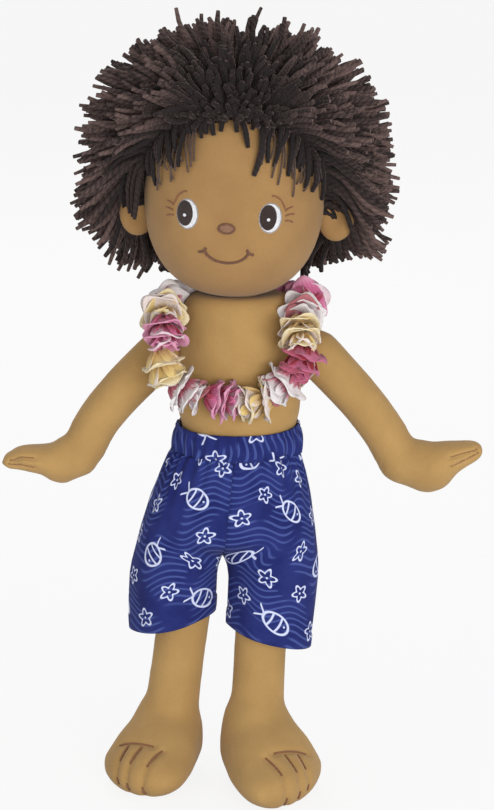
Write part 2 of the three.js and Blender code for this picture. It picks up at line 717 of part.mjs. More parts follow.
function shortsForm(inset) {
  const past = inset > 0 ? 6 : 0; // the inside runs out through the waist and the hems
  const crotch = legLength - crotchDrop;
  const seat = {
    high: waistHalfWidth, low: seatHalfWidth, fold: seatFold,
    highShare: waistShare, lowShare: seatHalfDepth / seatHalfWidth,
  };
  const waistPast = { ...seat, low: waistHalfWidth, lowShare: waistShare };
  let form = clothTube(0, seatLean, waistZ, crotch + inset, seat, inset);
  form = form.add(clothTube(0, 0, waistZ + past, waistZ - 1, waistPast, inset));
  for (const leg of legs) {
    const centre = leg.side * (hipHalfSpacing + legEase) + seatShift;
    const share = hemHalfDepth / hemHalfWidth;
    const hem = { high: hemHalfWidth, low: hemHalfWidth, fold: hemFold, highShare: share, lowShare: share };
    const lean = -Math.tan(rad(leg.lean));
    const top = crotch + 3 * clothThickness - inset;
    const from = centre + lean * (legLength - top);
    form = form.add(clothTube(from, lean, top, legLength - hemDrop - 12 - past, hem, inset));
  }
  return form;
}

function buildShorts() {
  const group = new THREE.Group();
  const torso = torsoForm(-seamGap);
  const inner = torsoHalfWidth + seamGap;
  const casing = inner + elasticThickness + seamGap;
  const bandTop = waistZ + waistbandHeight;
  const band = ring(casing, waistHalfWidth, waistZ, bandTop)
    .add(ring(inner, waistHalfWidth, bandTop - clothThickness, bandTop));
  const low = waistZ + seamGap;
  const stretch = ring(inner, inner + elasticThickness, low, low + elasticHeight);
  let shell = shortsForm(0).subtract(shortsForm(clothThickness)).trimByPlane([0, 0, -1], seamGap - waistZ);
  for (const leg of legs) {
    const slant = rad(hemSlant) * leg.side;
    const up = new THREE.Vector3(Math.sin(slant), 0, Math.cos(slant));
    const reach = hemDrop + (leg.side > 0 ? leftHemExtra : 0);
    const x = leg.side * (hipHalfSpacing + legEase) + seatShift - Math.tan(rad(leg.lean)) * reach;
    const own = new THREE.Vector3(x, 0, legLength - reach);
    const middle = seamGap / 2 + leg.side * seatLean * waistZ;
    const half = shell.trimByPlane([leg.side, 0, leg.side * seatLean], middle);
    group.add(mesh(`shorts_${leg.name}_panel`, half.trimByPlane(up.toArray(), up.dot(own)), print));
  }
  group.add(
    mesh('shorts_waistband', band.subtract(torso), print),
    mesh('waist_elastic', stretch.subtract(torso), elastic),
  );
  return group;
}

// Garland: blossoms threaded on a string that rests on the nape and the chest
function garlandPath() {
  const front = -torsoHalfDepth - garlandStandOff;
  const low = torsoTop - garlandDrop;
  const side = (way) => [
    new THREE.Vector3(way * garlandHalfWidth * 0.94, 7, torsoTop),
    new THREE.Vector3(way * (garlandHalfWidth + 1), -30, torsoTop - 10),
    new THREE.Vector3(way * garlandHalfWidth, front + 3.5, low + 10),
    new THREE.Vector3(way * garlandHalfWidth * 0.46, front, low + 2),
  ];
  return new THREE.CatmullRomCurve3([
    new THREE.Vector3(0, torsoHalfDepth + napeStandOff, torsoTop - 9),
    ...side(1),
    new THREE.Vector3(0, front, low),
    ...side(-1).reverse(),
  ], true);
}

function blossomForm(path, share) {
  const half = blossomThickness / 2;
  const profile = [
    [0, -half], [blossomRadius * 0.5, -half * 0.75], [blossomRadius * 0.96, -half * 0.35],
    [blossomRadius, half * 0.3], [blossomRadius * 0.5, half * 0.75], [0, half],
  ].map(([across, along]) => new THREE.Vector2(across, along));
  const geometry = new THREE.LatheGeometry(profile, 10);
  const place = geometry.getAttribute('position');
  for (let i = 0; i < place.count; i++) {
    const petal = Math.cos(5 * Math.atan2(place.getZ(i), place.getX(i)));
    const pull = 1 - petalDepth * (0.5 - 0.5 * petal);
    place.setXYZ(i, place.getX(i) * pull, place.getY(i), place.getZ(i) * pull);
  }
  const axis = new THREE.Vector3(0, 1, 0);
  const turn = new THREE.Quaternion().setFromUnitVectors(axis, path.getTangentAt(share));
  const at = path.getPointAt(share);
  return solid(geometry.applyQuaternion(turn).translate(at.x, at.y, at.z));
}

function buildGarland() {
  const group = new THREE.Group();
  const path = garlandPath();
  const loop = (radius) => solid(new THREE.TubeGeometry(path, 36, radius, 4, true));
  const hole = loop(stringRadius + seamGap);
  group.add(mesh('garland_string', loop(stringRadius), fill));
  for (let i = 0; i < blossomCount; i++) {
    const blossom = blossomForm(path, (i + 0.5) / blossomCount).subtract(hole);
    const name = `blossom_${String(i + 1).padStart(2, '0')}`;
    group.add(mesh(name, blossom, petals[blossomTints[i % blossomTints.length]]));
  }
  return group;
}

buildHead();
buildWig();
const doll = new THREE.Group();
doll.add(head, buildTorso(), buildShorts(), buildGarland(), ...arms.map(buildArm), ...legs.map(buildLeg));

// The origin is the middle of the bounding box's underside
const box = new THREE.Box3().setFromObject(doll, true);
const middle = box.getCenter(new THREE.Vector3());
doll.position.set(-middle.x, -middle.y, -box.min.z);
const group = new THREE.Group();
group.add(doll);

export default group;
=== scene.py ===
import functools
import json
import random
from math import acos, atan2, copysign, cos, exp, hypot, pi, radians, sin, sqrt, tan

import bmesh
import bpy
from mathutils import Matrix, Vector, kdtree, noise
from mathutils.bvhtree import BVHTree


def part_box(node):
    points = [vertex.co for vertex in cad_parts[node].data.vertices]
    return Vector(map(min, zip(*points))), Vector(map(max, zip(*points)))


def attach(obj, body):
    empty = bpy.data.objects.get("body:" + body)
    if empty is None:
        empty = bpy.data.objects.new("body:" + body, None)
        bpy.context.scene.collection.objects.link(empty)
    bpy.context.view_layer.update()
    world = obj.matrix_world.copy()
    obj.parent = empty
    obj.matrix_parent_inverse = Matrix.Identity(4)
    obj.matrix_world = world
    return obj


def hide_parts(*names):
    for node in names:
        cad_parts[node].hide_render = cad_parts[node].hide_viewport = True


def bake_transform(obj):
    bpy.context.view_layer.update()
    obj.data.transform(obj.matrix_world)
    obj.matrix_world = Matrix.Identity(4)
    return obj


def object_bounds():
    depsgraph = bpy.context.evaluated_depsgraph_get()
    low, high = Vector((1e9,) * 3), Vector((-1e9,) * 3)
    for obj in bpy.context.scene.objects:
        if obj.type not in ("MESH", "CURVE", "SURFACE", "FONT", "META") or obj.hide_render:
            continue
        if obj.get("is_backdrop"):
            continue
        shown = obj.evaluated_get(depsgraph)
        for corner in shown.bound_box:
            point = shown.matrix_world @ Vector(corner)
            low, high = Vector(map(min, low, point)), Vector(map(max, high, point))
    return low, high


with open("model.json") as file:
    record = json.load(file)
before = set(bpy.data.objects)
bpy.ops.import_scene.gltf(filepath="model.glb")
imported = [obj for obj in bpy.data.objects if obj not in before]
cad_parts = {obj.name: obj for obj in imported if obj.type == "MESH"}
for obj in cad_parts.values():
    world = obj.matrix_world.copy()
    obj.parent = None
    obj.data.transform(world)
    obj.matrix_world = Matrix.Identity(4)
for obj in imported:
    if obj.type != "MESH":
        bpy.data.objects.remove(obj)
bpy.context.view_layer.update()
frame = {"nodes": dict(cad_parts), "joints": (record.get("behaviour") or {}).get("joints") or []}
scene = bpy.context.scene
scene.view_settings.view_transform = "Standard"
mm = 0.001
sides = {"right": -1, "left": 1}  # the doll's own right lies at -x
jointAt = {joint["name"]: Vector(joint["pos_m"]) for joint in frame["joints"]}
middle = jointAt["neck_turn"].y  # the doll's own middle, front to back
print("frame loaded with", len(frame["nodes"]), "nodes")


def at(x, y, z):  # a point in millimetres, y from the doll's middle
    return Vector((x * mm, y * mm + middle, z * mm))


def ease(low, high, value):
    share = min(max((value - low) / (high - low), 0), 1)
    return share * share * (3 - 2 * share)


def mix(a, b, share):
    return a + (b - a) * share


def bell(value):  # 1 at 0, falling to both sides
    return exp(-value ** 2)


def evenly(count):  # numbers from 0 to 1
    return [i / (count - 1) for i in range(count)]


# camera, at the photograph's angle
view = {"lens": 133, "distance": 1.5, "rise": 13, "aim": (4, 0, 193)}
rise = radians(view["rise"])
away = Vector((0, -cos(rise), sin(rise)))
cameraData = bpy.data.cameras.new("camera")
cameraData.lens = view["lens"]
camera = bpy.data.objects.new("camera", cameraData)
camera.location = at(*view["aim"]) + away * view["distance"]
camera.rotation_euler = (-away).to_track_quat("-Z", "Y").to_euler()
scene.collection.objects.link(camera)
scene.camera = camera


# node helpers
class Wire:  # a node's output; arithmetic on it adds math nodes
    def __init__(self, tree, socket):
        self.tree = tree
        self.socket = socket

    def math(self, operation, *others):
        return put(self.tree, "ShaderNodeMath", dict(enumerate((self, *others))), operation=operation)


operations = {"__add__": "ADD", "__sub__": "SUBTRACT", "__mul__": "MULTIPLY", "__truediv__": "DIVIDE",
              "__abs__": "ABSOLUTE", "least": "MINIMUM", "most": "MAXIMUM"}
for method, operation in operations.items():
    setattr(Wire, method, functools.partialmethod(Wire.math, operation))


def newMaterial(name):
    material = bpy.data.materials.new(name)
    material.use_nodes = True
    return material, material.node_tree, material.node_tree.nodes["Principled BSDF"]


def feed(socket, value):  # a wire, a number, a vector or a colour
    if isinstance(value, Wire):
        value.tree.links.new(value.socket, socket)
    elif socket.type == "RGBA":
        socket.default_value = (*value, 1)
    else:
        socket.default_value = value


def put(tree, kind, values=None, out=0, **settings):  # a new node, of which one output is given back
    made = tree.nodes.new(kind)
    for key, value in settings.items():
        setattr(made, key, value)
    for key, value in (values or {}).items():
        feed(made.inputs[key], value)
    return Wire(tree, made.outputs[out])


def coordsOf(tree, kind):  # Object or UV
    return put(tree, "ShaderNodeTexCoord", out=kind)


def islandsOf(tree):  # a random number for each loose part of the mesh
    return put(tree, "ShaderNodeNewGeometry", out="Random Per Island")


def parts(vector):  # its x, y and z
    node = put(vector.tree, "ShaderNodeSeparateXYZ", {0: vector}).socket.node
    return [Wire(vector.tree, socket) for socket in node.outputs]


def step(value, low, high):  # 0 at low, 1 at high
    values = {"Value": value, "From Min": low, "From Max": high}
    return put(value.tree, "ShaderNodeMapRange", values, interpolation_type="SMOOTHSTEP")


def colours(share, a, b):
    return put(share.tree, "ShaderNodeMix", {0: share, 6: a, 7: b}, 2, data_type="RGBA")


def grain(coords, scale, detail):
    values = {"Vector": coords, "Scale": scale, "Detail": detail, "Roughness": 0.55}
    return put(coords.tree, "ShaderNodeTexNoise", values)


def waves(value, pitch):  # a ripple between -1 and 1, pitch in the value's unit
    return (value * (2 * pi / pitch)).math("SINE")


def relief(shader, height, strength, distance):
    values = {"Height": height, "Strength": strength, "Distance": distance}
    feed(shader.inputs["Normal"], put(height.tree, "ShaderNodeBump", values))


def paint(shader, colour, rough, sheen=0.0, sheenRough=0.5, shine=0.25):
    values = {"Base Color": colour, "Roughness": rough, "Specular IOR Level": shine,
              "Sheen Weight": sheen, "Sheen Roughness": sheenRough}
    for key, value in values.items():
        feed(shader.inputs[key], value)


# brushed jersey of the body, with fine ribs and a soft mottle
skinSet = {
    "body": ((0.445, 0.272, 0.098), (0.375, 0.222, 0.078)),
    # face: the body's colours darkened, for a slightly darker cloth and for painted shade of the hair over
    # the face
    "face": ((0.368, 0.211, 0.080), (0.305, 0.171, 0.064)),
    "rib": 0.0011, "course": 0.0008, "mottle": 45, "nap": 1400,
}


def makeSkin(name, light, deep):
    material, tree, shader = newMaterial(name)
    coords = coordsOf(tree, "Object")
    x, y, z = parts(coords)
    knit = waves(x + y * 0.8, skinSet["rib"]) * 0.5 + waves(z, skinSet["course"]) * 0.35
    nap = grain(coords, skinSet["nap"], 2)
    tone = grain(coords, skinSet["mottle"], 4) * 0.75 + nap * 0.35 + knit * 0.03
    paint(shader, colours(step(tone, 0.3, 0.8), deep, light), 0.9, 0.12)
    relief(shader, knit * 0.25 + nap, 0.3, 0.0002)
    return material


# yarn of two twisted plies
yarnSet = {
    "dark": (0.010, 0.007, 0.007), "light": (0.150, 0.096, 0.086), "sheen": (0.6, 0.42, 0.38),
    "turns": 12, "fuzz": 700,
    # painted shade, darker towards the head and about the whorl: place, near and far distance, share of the
    # tone left
    "shade": [((-2, 0, 302.5), 0.046, 0.080, 0.4), ((-2, -38, 363), 0.012, 0.060, 0.45)],
}


def makeYarn():
    material, tree, shader = newMaterial("hairYarn")
    coords = coordsOf(tree, "Object")
    along, around = parts(coordsOf(tree, "UV"))[:2]
    ply = waves(along * yarnSet["turns"] + around * 2, 1) * 0.5 + 0.5
    fuzz = grain(coords, yarnSet["fuzz"], 3)
    tone = islandsOf(tree) * 0.5 + ply * 0.18 + fuzz * 0.45
    # painted shade: the tone darkens towards the head, where the strands lie deep, and about the whorl
    for place, near, far, left in yarnSet["shade"]:
        gap = put(tree, "ShaderNodeVectorMath", {0: coords, 1: at(*place)}, "Value", operation="DISTANCE")
        tone = tone * (step(gap, near, far) * (1 - left) + left)
    paint(shader, colours(step(tone, 0.2, 0.95), yarnSet["dark"], yarnSet["light"]), 0.8, 0.35, 0.4)
    feed(shader.inputs["Sheen Tint"], yarnSet["sheen"])
    relief(shader, ply * 0.6 + fuzz, 0.5, 0.0005)
    return material


# embroidery thread in close satin stitches
threadSet = {"pitch": 0.0007, "lean": 0.35, "fuzz": 800}


def makeThread(name, dark, light, pitch=threadSet["pitch"], lean=threadSet["lean"]):
    material, tree, shader = newMaterial(name)
    coords = coordsOf(tree, "Object")
    x, z = parts(coords)[::2]
    stitch = waves(z * lean + x, pitch)
    shade = stitch * 0.25 + grain(coords, threadSet["fuzz"], 2)
    paint(shader, colours(step(shade, 0.2, 0.85), dark, light), 0.55, 0.15)
    relief(shader, stitch, 0.5, 0.0002)
    return material


# printed cotton: royal blue with wave lines, small starfish and larger striped fish
printSet = {
    "deep": (0.012, 0.018, 0.115), "blue": (0.021, 0.030, 0.162), "wave": (0.062, 0.092, 0.300),
    "line": (0.60, 0.65, 0.86), "pen": (0.00078, 0.00045), "tile": (0.060, 0.062), "weave": 0.0007,
    "swell": 0.031, "ripple": 0.0038,
    # kind, place in the tile in mm, size in mm, turn in degrees
    "motifs": [("fish", 15, 13, 8.2, -28), ("fish", 45, 44, 7.8, 206), ("star", 40, 9, 5.2, 10),
               ("star", 54, 23, 5.0, 48), ("star", 9, 38, 5.4, -20), ("star", 24, 53, 5.0, 70),
               ("star", 28, 31, 4.8, 30)],
}


def reachOf(x, y):
    return (x * x + y * y).math("SQRT")


def starLines(x, y, size):  # outline of a five-armed star and a dot in it
    reach = reachOf(x, y)
    arms = (x.math("ARCTAN2", y) * 5).math("COSINE")
    return abs(reach - (arms * (0.23 * size) + 0.74 * size)).least(reach)


def fishLines(x, y, size):  # oval body with two stripes, an eye and a forked tail
    reach = reachOf(x, y / 0.62)
    lines = abs(reach - size) * 0.75
    outside = (reach - size).most(0)
    bow = y * y * (0.3 / size) + x
    for place in (-0.42, 0.28):
        lines = lines.least(outside * 4 + abs(bow - place * size))
    eye = reachOf(x - 0.62 * size, y - 0.12 * size)
    behind = x * -1 - 0.95 * size
    past = (behind - 0.6 * size).most(behind * -1).most(0)
    fork = past * 4 + abs(behind * -0.8 + abs(y))
    return lines.least(eye).least(fork)


def makePrint():
    material, tree, shader = newMaterial("shortsPrint")
    flat = coordsOf(tree, "UV")
    u, v = parts(flat)[:2]
    wide, tall = printSet["tile"]
    near = None
    for kind, across, up, size, turned in printSet["motifs"]:
        x = (u - across * mm).math("WRAP", wide / 2, -wide / 2)
        y = (v - up * mm).math("WRAP", tall / 2, -tall / 2)
        c, s = cos(radians(turned)), sin(radians(turned))
        drawing = starLines if kind == "star" else fishLines
        lines = drawing(x * c + y * s, y * c - x * s, size * mm)
        near = lines if near is None else near.least(lines)
    swell = waves(u, printSet["swell"]) * 0.0022 + grain(flat, 30, 1) * 0.012 + v
    patches = step(grain(flat, 42, 0), 0.38, 0.47) * 0.85
    ripple = step(waves(swell, printSet["ripple"]), 0.35, 0.75) * patches
    fade = grain(coordsOf(tree, "Object"), 70, 3)
    ground = colours(step(fade, 0.3, 0.7), printSet["deep"], printSet["blue"])
    ground = colours(ripple, ground, printSet["wave"])
    paint(shader, colours(step(near, *printSet["pen"]), ground, printSet["line"]), 0.85, 0.03, shine=0.12)
    relief(shader, waves(u, printSet["weave"]) * waves(v, printSet["weave"]), 0.3, 0.0002)
    return material


# dyed petal cloth, from the heart to the rim; a share of the petals is of another dye
petalSet = {"cloud": 160, "streak": 0.11, "weave": 0.0008}


def makePetal(name, heart, body, rim, other, share):
    material, tree, shader = newMaterial(name)
    coords = coordsOf(tree, "Object")
    across, along = parts(coordsOf(tree, "UV"))[:2]
    cloud = grain(coords, petalSet["cloud"], 3)
    streak = waves(cloud * 0.06 + across, petalSet["streak"])
    out = (cloud - 0.5) * 0.5 + along + streak * 0.05
    tint = colours(step(out, 0.18, 0.50), heart, body)
    tint = colours(step(out, 0.55, 0.95), tint, rim)
    swapped = step(islandsOf(tree), 1 - share, 1.02 - share) * step(out, 0.1, 0.6)
    paint(shader, colours(swapped * 0.85, tint, other), 0.75, 0.2)
    x, y, z = parts(coords)
    weave = waves(x + y, petalSet["weave"]) * waves(z, petalSet["weave"])
    relief(shader, streak * 0.8 + weave, 0.3, 0.0002)
    return material


skinCloth = makeSkin("skinCloth", *skinSet["body"])
# a darker copy of the body's cloth: a slightly darker cloth and painted shade of the hair over the face
faceCloth = makeSkin("faceCloth", *skinSet["face"])
hairYarn = makeYarn()
brownThread = makeThread("brownThread", (0.11, 0.045, 0.024), (0.20, 0.09, 0.05))
eyeThread = makeThread("eyeThread", (0.62, 0.62, 0.64), (0.88, 0.88, 0.90), 0.0006)
irisThread = makeThread("irisThread", (0.012, 0.006, 0.005), (0.036, 0.018, 0.014), 0.0006)
toeThread = makeThread("toeThread", (0.20, 0.080, 0.034), (0.27, 0.115, 0.05))
# the finger thread's brown also paints the shade in the finger creases
fingerThreadAndShade = makeThread("fingerThreadAndShade", (0.27, 0.14, 0.058), (0.34, 0.185, 0.078))
wispYarn = makeThread("wispYarn", (0.055, 0.032, 0.025), (0.11, 0.066, 0.048))
noseThread = makeThread("noseThread", (0.20, 0.10, 0.058), (0.29, 0.155, 0.09))
greyThread = makeThread("greyThread", (0.22, 0.20, 0.20), (0.42, 0.40, 0.40))
garlandThread = makeThread("garlandThread", (0.42, 0.27, 0.24), (0.56, 0.40, 0.34))
elasticWeave = makeThread("elasticWeave", (0.70, 0.70, 0.68), (0.88, 0.88, 0.86), 0.0012, 0)
shortsPrint = makePrint()
dyes = {  # heart, body, rim, the other dye and its share
    "pink": ((0.36, 0.03, 0.07), (0.56, 0.13, 0.27), (0.68, 0.30, 0.44), (0.76, 0.64, 0.67), 0.25),
    "pale": ((0.45, 0.10, 0.15), (0.73, 0.67, 0.68), (0.77, 0.73, 0.73), (0.36, 0.035, 0.055), 0.16),
    "cream": ((0.60, 0.40, 0.16), (0.70, 0.52, 0.20), (0.76, 0.65, 0.42), (0.76, 0.67, 0.67), 0.42),
    "crimson": ((0.22, 0.014, 0.018), (0.30, 0.025, 0.04), (0.46, 0.10, 0.17), (0.54, 0.14, 0.25), 0.34),
}
petals = {tint: makePetal("petal" + tint.title(), *dye) for tint, dye in dyes.items()}
print("materials made:", len(bpy.data.materials))


# floor and light
light = {
    "world": 0.5, "floor": (0.86, 0.86, 0.86), "spot": (0.8428, 0.8428, 0.8428), "glow": 0.86, "reach": 30,
}
lamps = {  # place, width, height, power
    "key": ((0.75, -1.85, 0.40), 1.5, 0.72, 26.5),
    "fill": ((-1.4, -1.3, 0.40), 1.4, 0.72, 4.5),
    "back": ((-0.3, 1.4, 1.5), 1.2, 1.2, 10),
}
lampAim = Vector((0, 0, 0.2))


def shown(tree):  # 1 where the camera looks, also in a mirror or through glass
    rays = ("Is Camera Ray", "Is Glossy Ray", "Is Transmission Ray")
    straight, glossy, through = [put(tree, "ShaderNodeLightPath", out=ray) for ray in rays]
    return straight.most(glossy).most(through)


bm = bmesh.new()
bmesh.ops.create_circle(bm, cap_ends=True, segments=48, radius=light["reach"])
floorMesh = bpy.data.meshes.new("floor")
bm.to_mesh(floorMesh)
bm.free()
floor = bpy.data.objects.new("floor", floorMesh)
scene.collection.objects.link(floor)
floor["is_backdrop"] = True
floorPaint, tree, shader = newMaterial("floorPaint")
paint(shader, colours(grain(coordsOf(tree, "Object"), 3, 3), light["floor"], light["spot"]), 0.9)
glow = put(tree, "ShaderNodeEmission", {"Color": (1, 1, 1), "Strength": 1.0})
lit = {0: shown(tree) * light["glow"], 1: Wire(tree, shader.outputs[0]), 2: glow}
feed(tree.nodes["Material Output"].inputs[0], put(tree, "ShaderNodeMixShader", lit))
floorMesh.materials.append(floorPaint)
world = bpy.data.worlds.new("studio")
scene.world = world
world.use_nodes = True
backdrop = world.node_tree.nodes["Background"]
feed(backdrop.inputs[0], (1, 1, 1))
feed(backdrop.inputs[1], shown(world.node_tree) * (1 - light["world"]) + light["world"])
for name, (place, wide, high, power) in lamps.items():
    lampData = bpy.data.lights.new(name, "AREA")
    lampData.shape = "RECTANGLE"
    lampData.size = wide
    lampData.size_y = high
    lampData.energy = power
    lamp = bpy.data.objects.new(name, lampData)
    lamp.location = place
    lamp.rotation_euler = (lampAim - Vector(place)).to_track_quat("-Z", "Y").to_euler()
    scene.collection.objects.link(lamp)
print("stage set")


# mesh helpers
def linked(name, mesh, material):  # a mesh as a smooth piece of the scene
    mesh.name = name
    mesh.shade_smooth()
    mesh.materials.clear()
    mesh.materials.append(material)
    piece = bpy.data.objects.new(name, mesh)
    scene.collection.objects.link(piece)
    return piece


def addPiece(bm, name, material):
    mesh = bpy.data.meshes.new(name)
    bm.to_mesh(mesh)
    bm.free()
    return linked(name, mesh, material)


def baked(piece):  # a mesh with the piece's modifiers in it
    bpy.context.view_layer.update()
    return bpy.data.meshes.new_from_object(piece.evaluated_get(bpy.context.evaluated_depsgraph_get()))


def settle(piece):
    made = baked(piece)
    old = piece.data
    piece.modifiers.clear()
    piece.data = made
    bpy.data.meshes.remove(old)
    made.name = piece.name
    made.shade_smooth()


def clothPiece(bm, name, material, thick, offset):  # a sheet that is given its thickness, in mm
    bmesh.ops.recalc_face_normals(bm, faces=bm.faces[:])
    piece = addPiece(bm, name, material)
    wall = piece.modifiers.new("cloth", "SOLIDIFY")
    wall.thickness = thick * mm
    wall.offset = offset
    settle(piece)
    return piece


def clothArea(piece):  # of one side
    return sum(face.area for face in piece.data.polygons) / 2


def clothGrid(across, up, printAt):  # a flat grid; printAt gives a place's spot on the printed cloth
    bm = bmesh.new()
    bmesh.ops.create_grid(bm, x_segments=across, y_segments=up, size=0.5, calc_uvs=True)
    uv = bm.loops.layers.uv.verify()
    for face in bm.faces:
        for loop in face.loops:
            loop[uv].uv = printAt(*loop.vert.co.xy)
    return bm, uv


def stand(piece, body, slot, *nodes):  # rides on a body and stands for CAD nodes, which it hides
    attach(piece, body)
    if nodes:
        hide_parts(*nodes)
    return piece


def ballForm(bm, across, rings, shape):  # a sphere whose points are moved one by one
    for vert in bmesh.ops.create_uvsphere(bm, u_segments=across, v_segments=rings, radius=1)["verts"]:
        vert.co = shape(vert.co.copy())


def ballPiece(name, material, across, rings, shape):
    bm = bmesh.new()
    ballForm(bm, across, rings, shape)
    return addPiece(bm, name, material)


def curvePiece(name, lines, radius, material, detail=1, girths=None):
    curve = bpy.data.curves.new(name, "CURVE")
    curve.dimensions = "3D"
    curve.bevel_depth = radius
    curve.bevel_resolution = detail
    curve.use_fill_caps = True
    for k, line in enumerate(lines):
        spline = curve.splines.new("POLY")
        spline.points.add(len(line) - 1)
        for i, point in enumerate(line):
            spline.points[i].co = (*point, 1)
            spline.points[i].radius = girths[k][i] if girths else 1
    helper = bpy.data.objects.new(name, curve)
    scene.collection.objects.link(helper)
    mesh = baked(helper)
    bpy.data.objects.remove(helper)
    bpy.data.curves.remove(curve)
    return linked(name, mesh, material)


def spread(points, count):  # a smooth line through a few points, tuples of any length
    out = []
    last = len(points) - 1
    for i in range(count):
        place = last * i / (count - 1)
        k = min(int(place), last - 1)
        t = place - k
        a, b = points[max(k - 1, 0)], points[k]
        c, d = points[k + 1], points[min(k + 2, last)]
        out.append(tuple(
            q + 0.5 * t * (r - p + t * (2 * p - 5 * q + 4 * r - s + t * (3 * q - p - 3 * r + s)))
            for p, q, r, s in zip(a, b, c, d)))
    return out


def remeshed(piece, voxel, passes):
    remesh = piece.modifiers.new("remesh", "REMESH")
    remesh.mode = "VOXEL"
    remesh.voxel_size = voxel
    settle(piece)
    bm = bmesh.new()
    bm.from_mesh(piece.data)
    axes = {"use_axis_x": True, "use_axis_y": True, "use_axis_z": True}
    for i in range(passes):
        bmesh.ops.smooth_vert(bm, verts=bm.verts, factor=0.5, **axes)
    bm.to_mesh(piece.data)
    bm.free()
    piece.data.shade_smooth()


# swells a closed skin with stuffing while its side seam is held, by no more than the cap
puffSet = {"pressure": 4, "frames": 14, "quality": 4, "cap": 0.0022, "seam": 0.0014}


def stuffed(piece, cap=puffSet["cap"]):
    seam = piece.vertex_groups.new(name="seam")
    rest = [vert.co.copy() for vert in piece.data.vertices]
    seam.add([i for i, co in enumerate(rest) if abs(co.y - middle) < puffSet["seam"]], 1, "REPLACE")
    settings = piece.modifiers.new("stuffing", "CLOTH").settings
    settings.use_pressure = True
    settings.uniform_pressure_force = puffSet["pressure"]
    settings.vertex_group_mass = "seam"
    settings.effector_weights.gravity = 0
    settings.quality = puffSet["quality"]
    for number in range(1, puffSet["frames"] + 1):
        scene.frame_set(number)
    moved = piece.evaluated_get(bpy.context.evaluated_depsgraph_get()).data.vertices
    places = [vert.co.copy() for vert in moved]
    piece.modifiers.clear()
    piece.vertex_groups.clear()
    scene.frame_set(1)
    for vert, old, new in zip(piece.data.vertices, rest, places):
        shift = new - old
        vert.co = old + shift * min(1, cap / max(shift.length, 1e-9))


def finer(piece):  # one subdivision
    rounding = piece.modifiers.new("rounding", "SUBSURF")
    rounding.levels = rounding.render_levels = 1
    settle(piece)


def treeOf(piece):
    bm = bmesh.new()
    bm.from_mesh(piece.data)
    made = BVHTree.FromBMesh(bm)
    bm.free()
    return made


def pullIn(piece, lines, width, depth):  # draws the skin in along stitched lines
    for vert in piece.data.vertices:
        near = min((vert.co - point).length for line in lines for point in line)
        if near < width:
            vert.co -= vert.normal * depth * (1 - near / width) ** 2


# head: a round face panel and a back panel, stuffed tight
headSet = {
    "centre": (-2, 0, 302.5), "tilt": 2.5, "turn": -4, "halfWidth": 44.5, "halfDepth": 44,
    "chin": 53, "crown": 56, "fullness": 2.4, "cheek": 1.5, "cheekAt": (22, -36, -24), "cheekWide": 15,
    "across": 80, "rings": 56,
}
headFrame = (Matrix.Translation(at(*headSet["centre"]))
             @ Matrix.Rotation(radians(headSet["tilt"]), 4, "Y")
             @ Matrix.Rotation(radians(headSet["turn"]), 4, "Z") @ Matrix.Scale(mm, 4))


def headReach(way):  # from the head's centre to its skin, in mm
    flat = hypot(way.x / headSet["halfWidth"], way.y / headSet["halfDepth"])
    if way.z >= 0:
        return 1 / hypot(flat, way.z / headSet["crown"])
    power = headSet["fullness"]
    return (flat ** power + (-way.z / headSet["chin"]) ** power) ** (-1 / power)


def headPoint(way):
    point = way * headReach(way)
    aside, *rest = headSet["cheekAt"]
    for sign in (-1, 1):
        off = (point - Vector((sign * aside, *rest))).length
        point += way * headSet["cheek"] * bell(off / headSet["cheekWide"])
    return point


headSkin = ballPiece("headSkin", faceCloth, headSet["across"], headSet["rings"],
                     lambda way: headFrame @ headPoint(way.normalized()))
stand(headSkin, "head", "skin_cloth", "face_panel", "head_back_panel", "head_stuffing")
headTree = treeOf(headSkin)
facing = (headFrame.to_3x3() @ Vector((0, 1, 0))).normalized()


def onFace(x, z, lift=0.0):  # a point of the face by its place seen from the front
    start = headFrame @ Vector((x, -2 * headSet["halfDepth"], z))
    hit, normal = headTree.ray_cast(start, facing)[:2]
    return hit + normal * lift * mm, normal


def patch(name, x, z, halfWidth, halfHeight, thick, material, lift=0.0):
    def shape(way):
        base, normal = onFace(x + way.x * halfWidth, z + way.z * halfHeight, lift)
        return base - normal * way.y * thick * mm

    return ballPiece(name, material, 28, 16, shape)


def faceLines(name, lines, material, radius, lift, count):
    drawn = [[onFace(x, z, lift)[0] for x, z in spread(line, count)] for line in lines]
    return curvePiece(name, drawn, radius * mm, material, 2)


# embroidered face
faceSet = {
    "eyes": {"right": -19.7, "left": 20.3}, "drop": 7.3, "aside": -1.0,
    # patches of stitches: half width, half height, thickness
    "rim": (5.5, 7.5, 0.25), "white": (5.0, 7.0, 0.5), "iris": (4.0, 6.2, 0.45), "glint": (0.8, 0.8, 0.3),
    "irisUp": 0.3, "irisLift": 0.3, "glintUp": -0.6, "glintLift": 0.7,
    # threads: radius, height over the skin, points of a line
    "lashThread": (0.42, 0.15, 14), "noseThread": (0.5, 0.5, 40), "mouthThread": (0.7, 0.2, 20),
    # lid and lashes: places out from the eye's middle and above it
    "lid": [(6.6, 4.4), (4.9, 8.2), (2.4, 10.4), (0.4, 10.8)],
    "lashes": [[(6.6, 3.2), (8.5, 4.5), (10.2, 5.0)], [(7.0, 0.8), (8.9, 1.4), (10.9, 1.4)],
               [(6.9, -1.5), (8.7, -1.7), (10.4, -2.5)]],
    "nose": (-0.2, -12.8, 3.8, 2.3, 0.9),
    "smile": [(-10.6, -24.6), (-8.6, -27.2), (-4.8, -29.4), (0.3, -30.2), (5.3, -29.4), (9, -27.2),
              (10.8, -24.6)],
    "ticks": [[(-13.4, -25.4), (-12, -25.2), (-10.4, -24.6)], [(-10.6, -25), (-10.4, -24), (-10, -23)],
              [(13, -25.6), (11.8, -25.2), (10.6, -24.6)], [(10.8, -25), (10.4, -24), (9.8, -23)]],
}
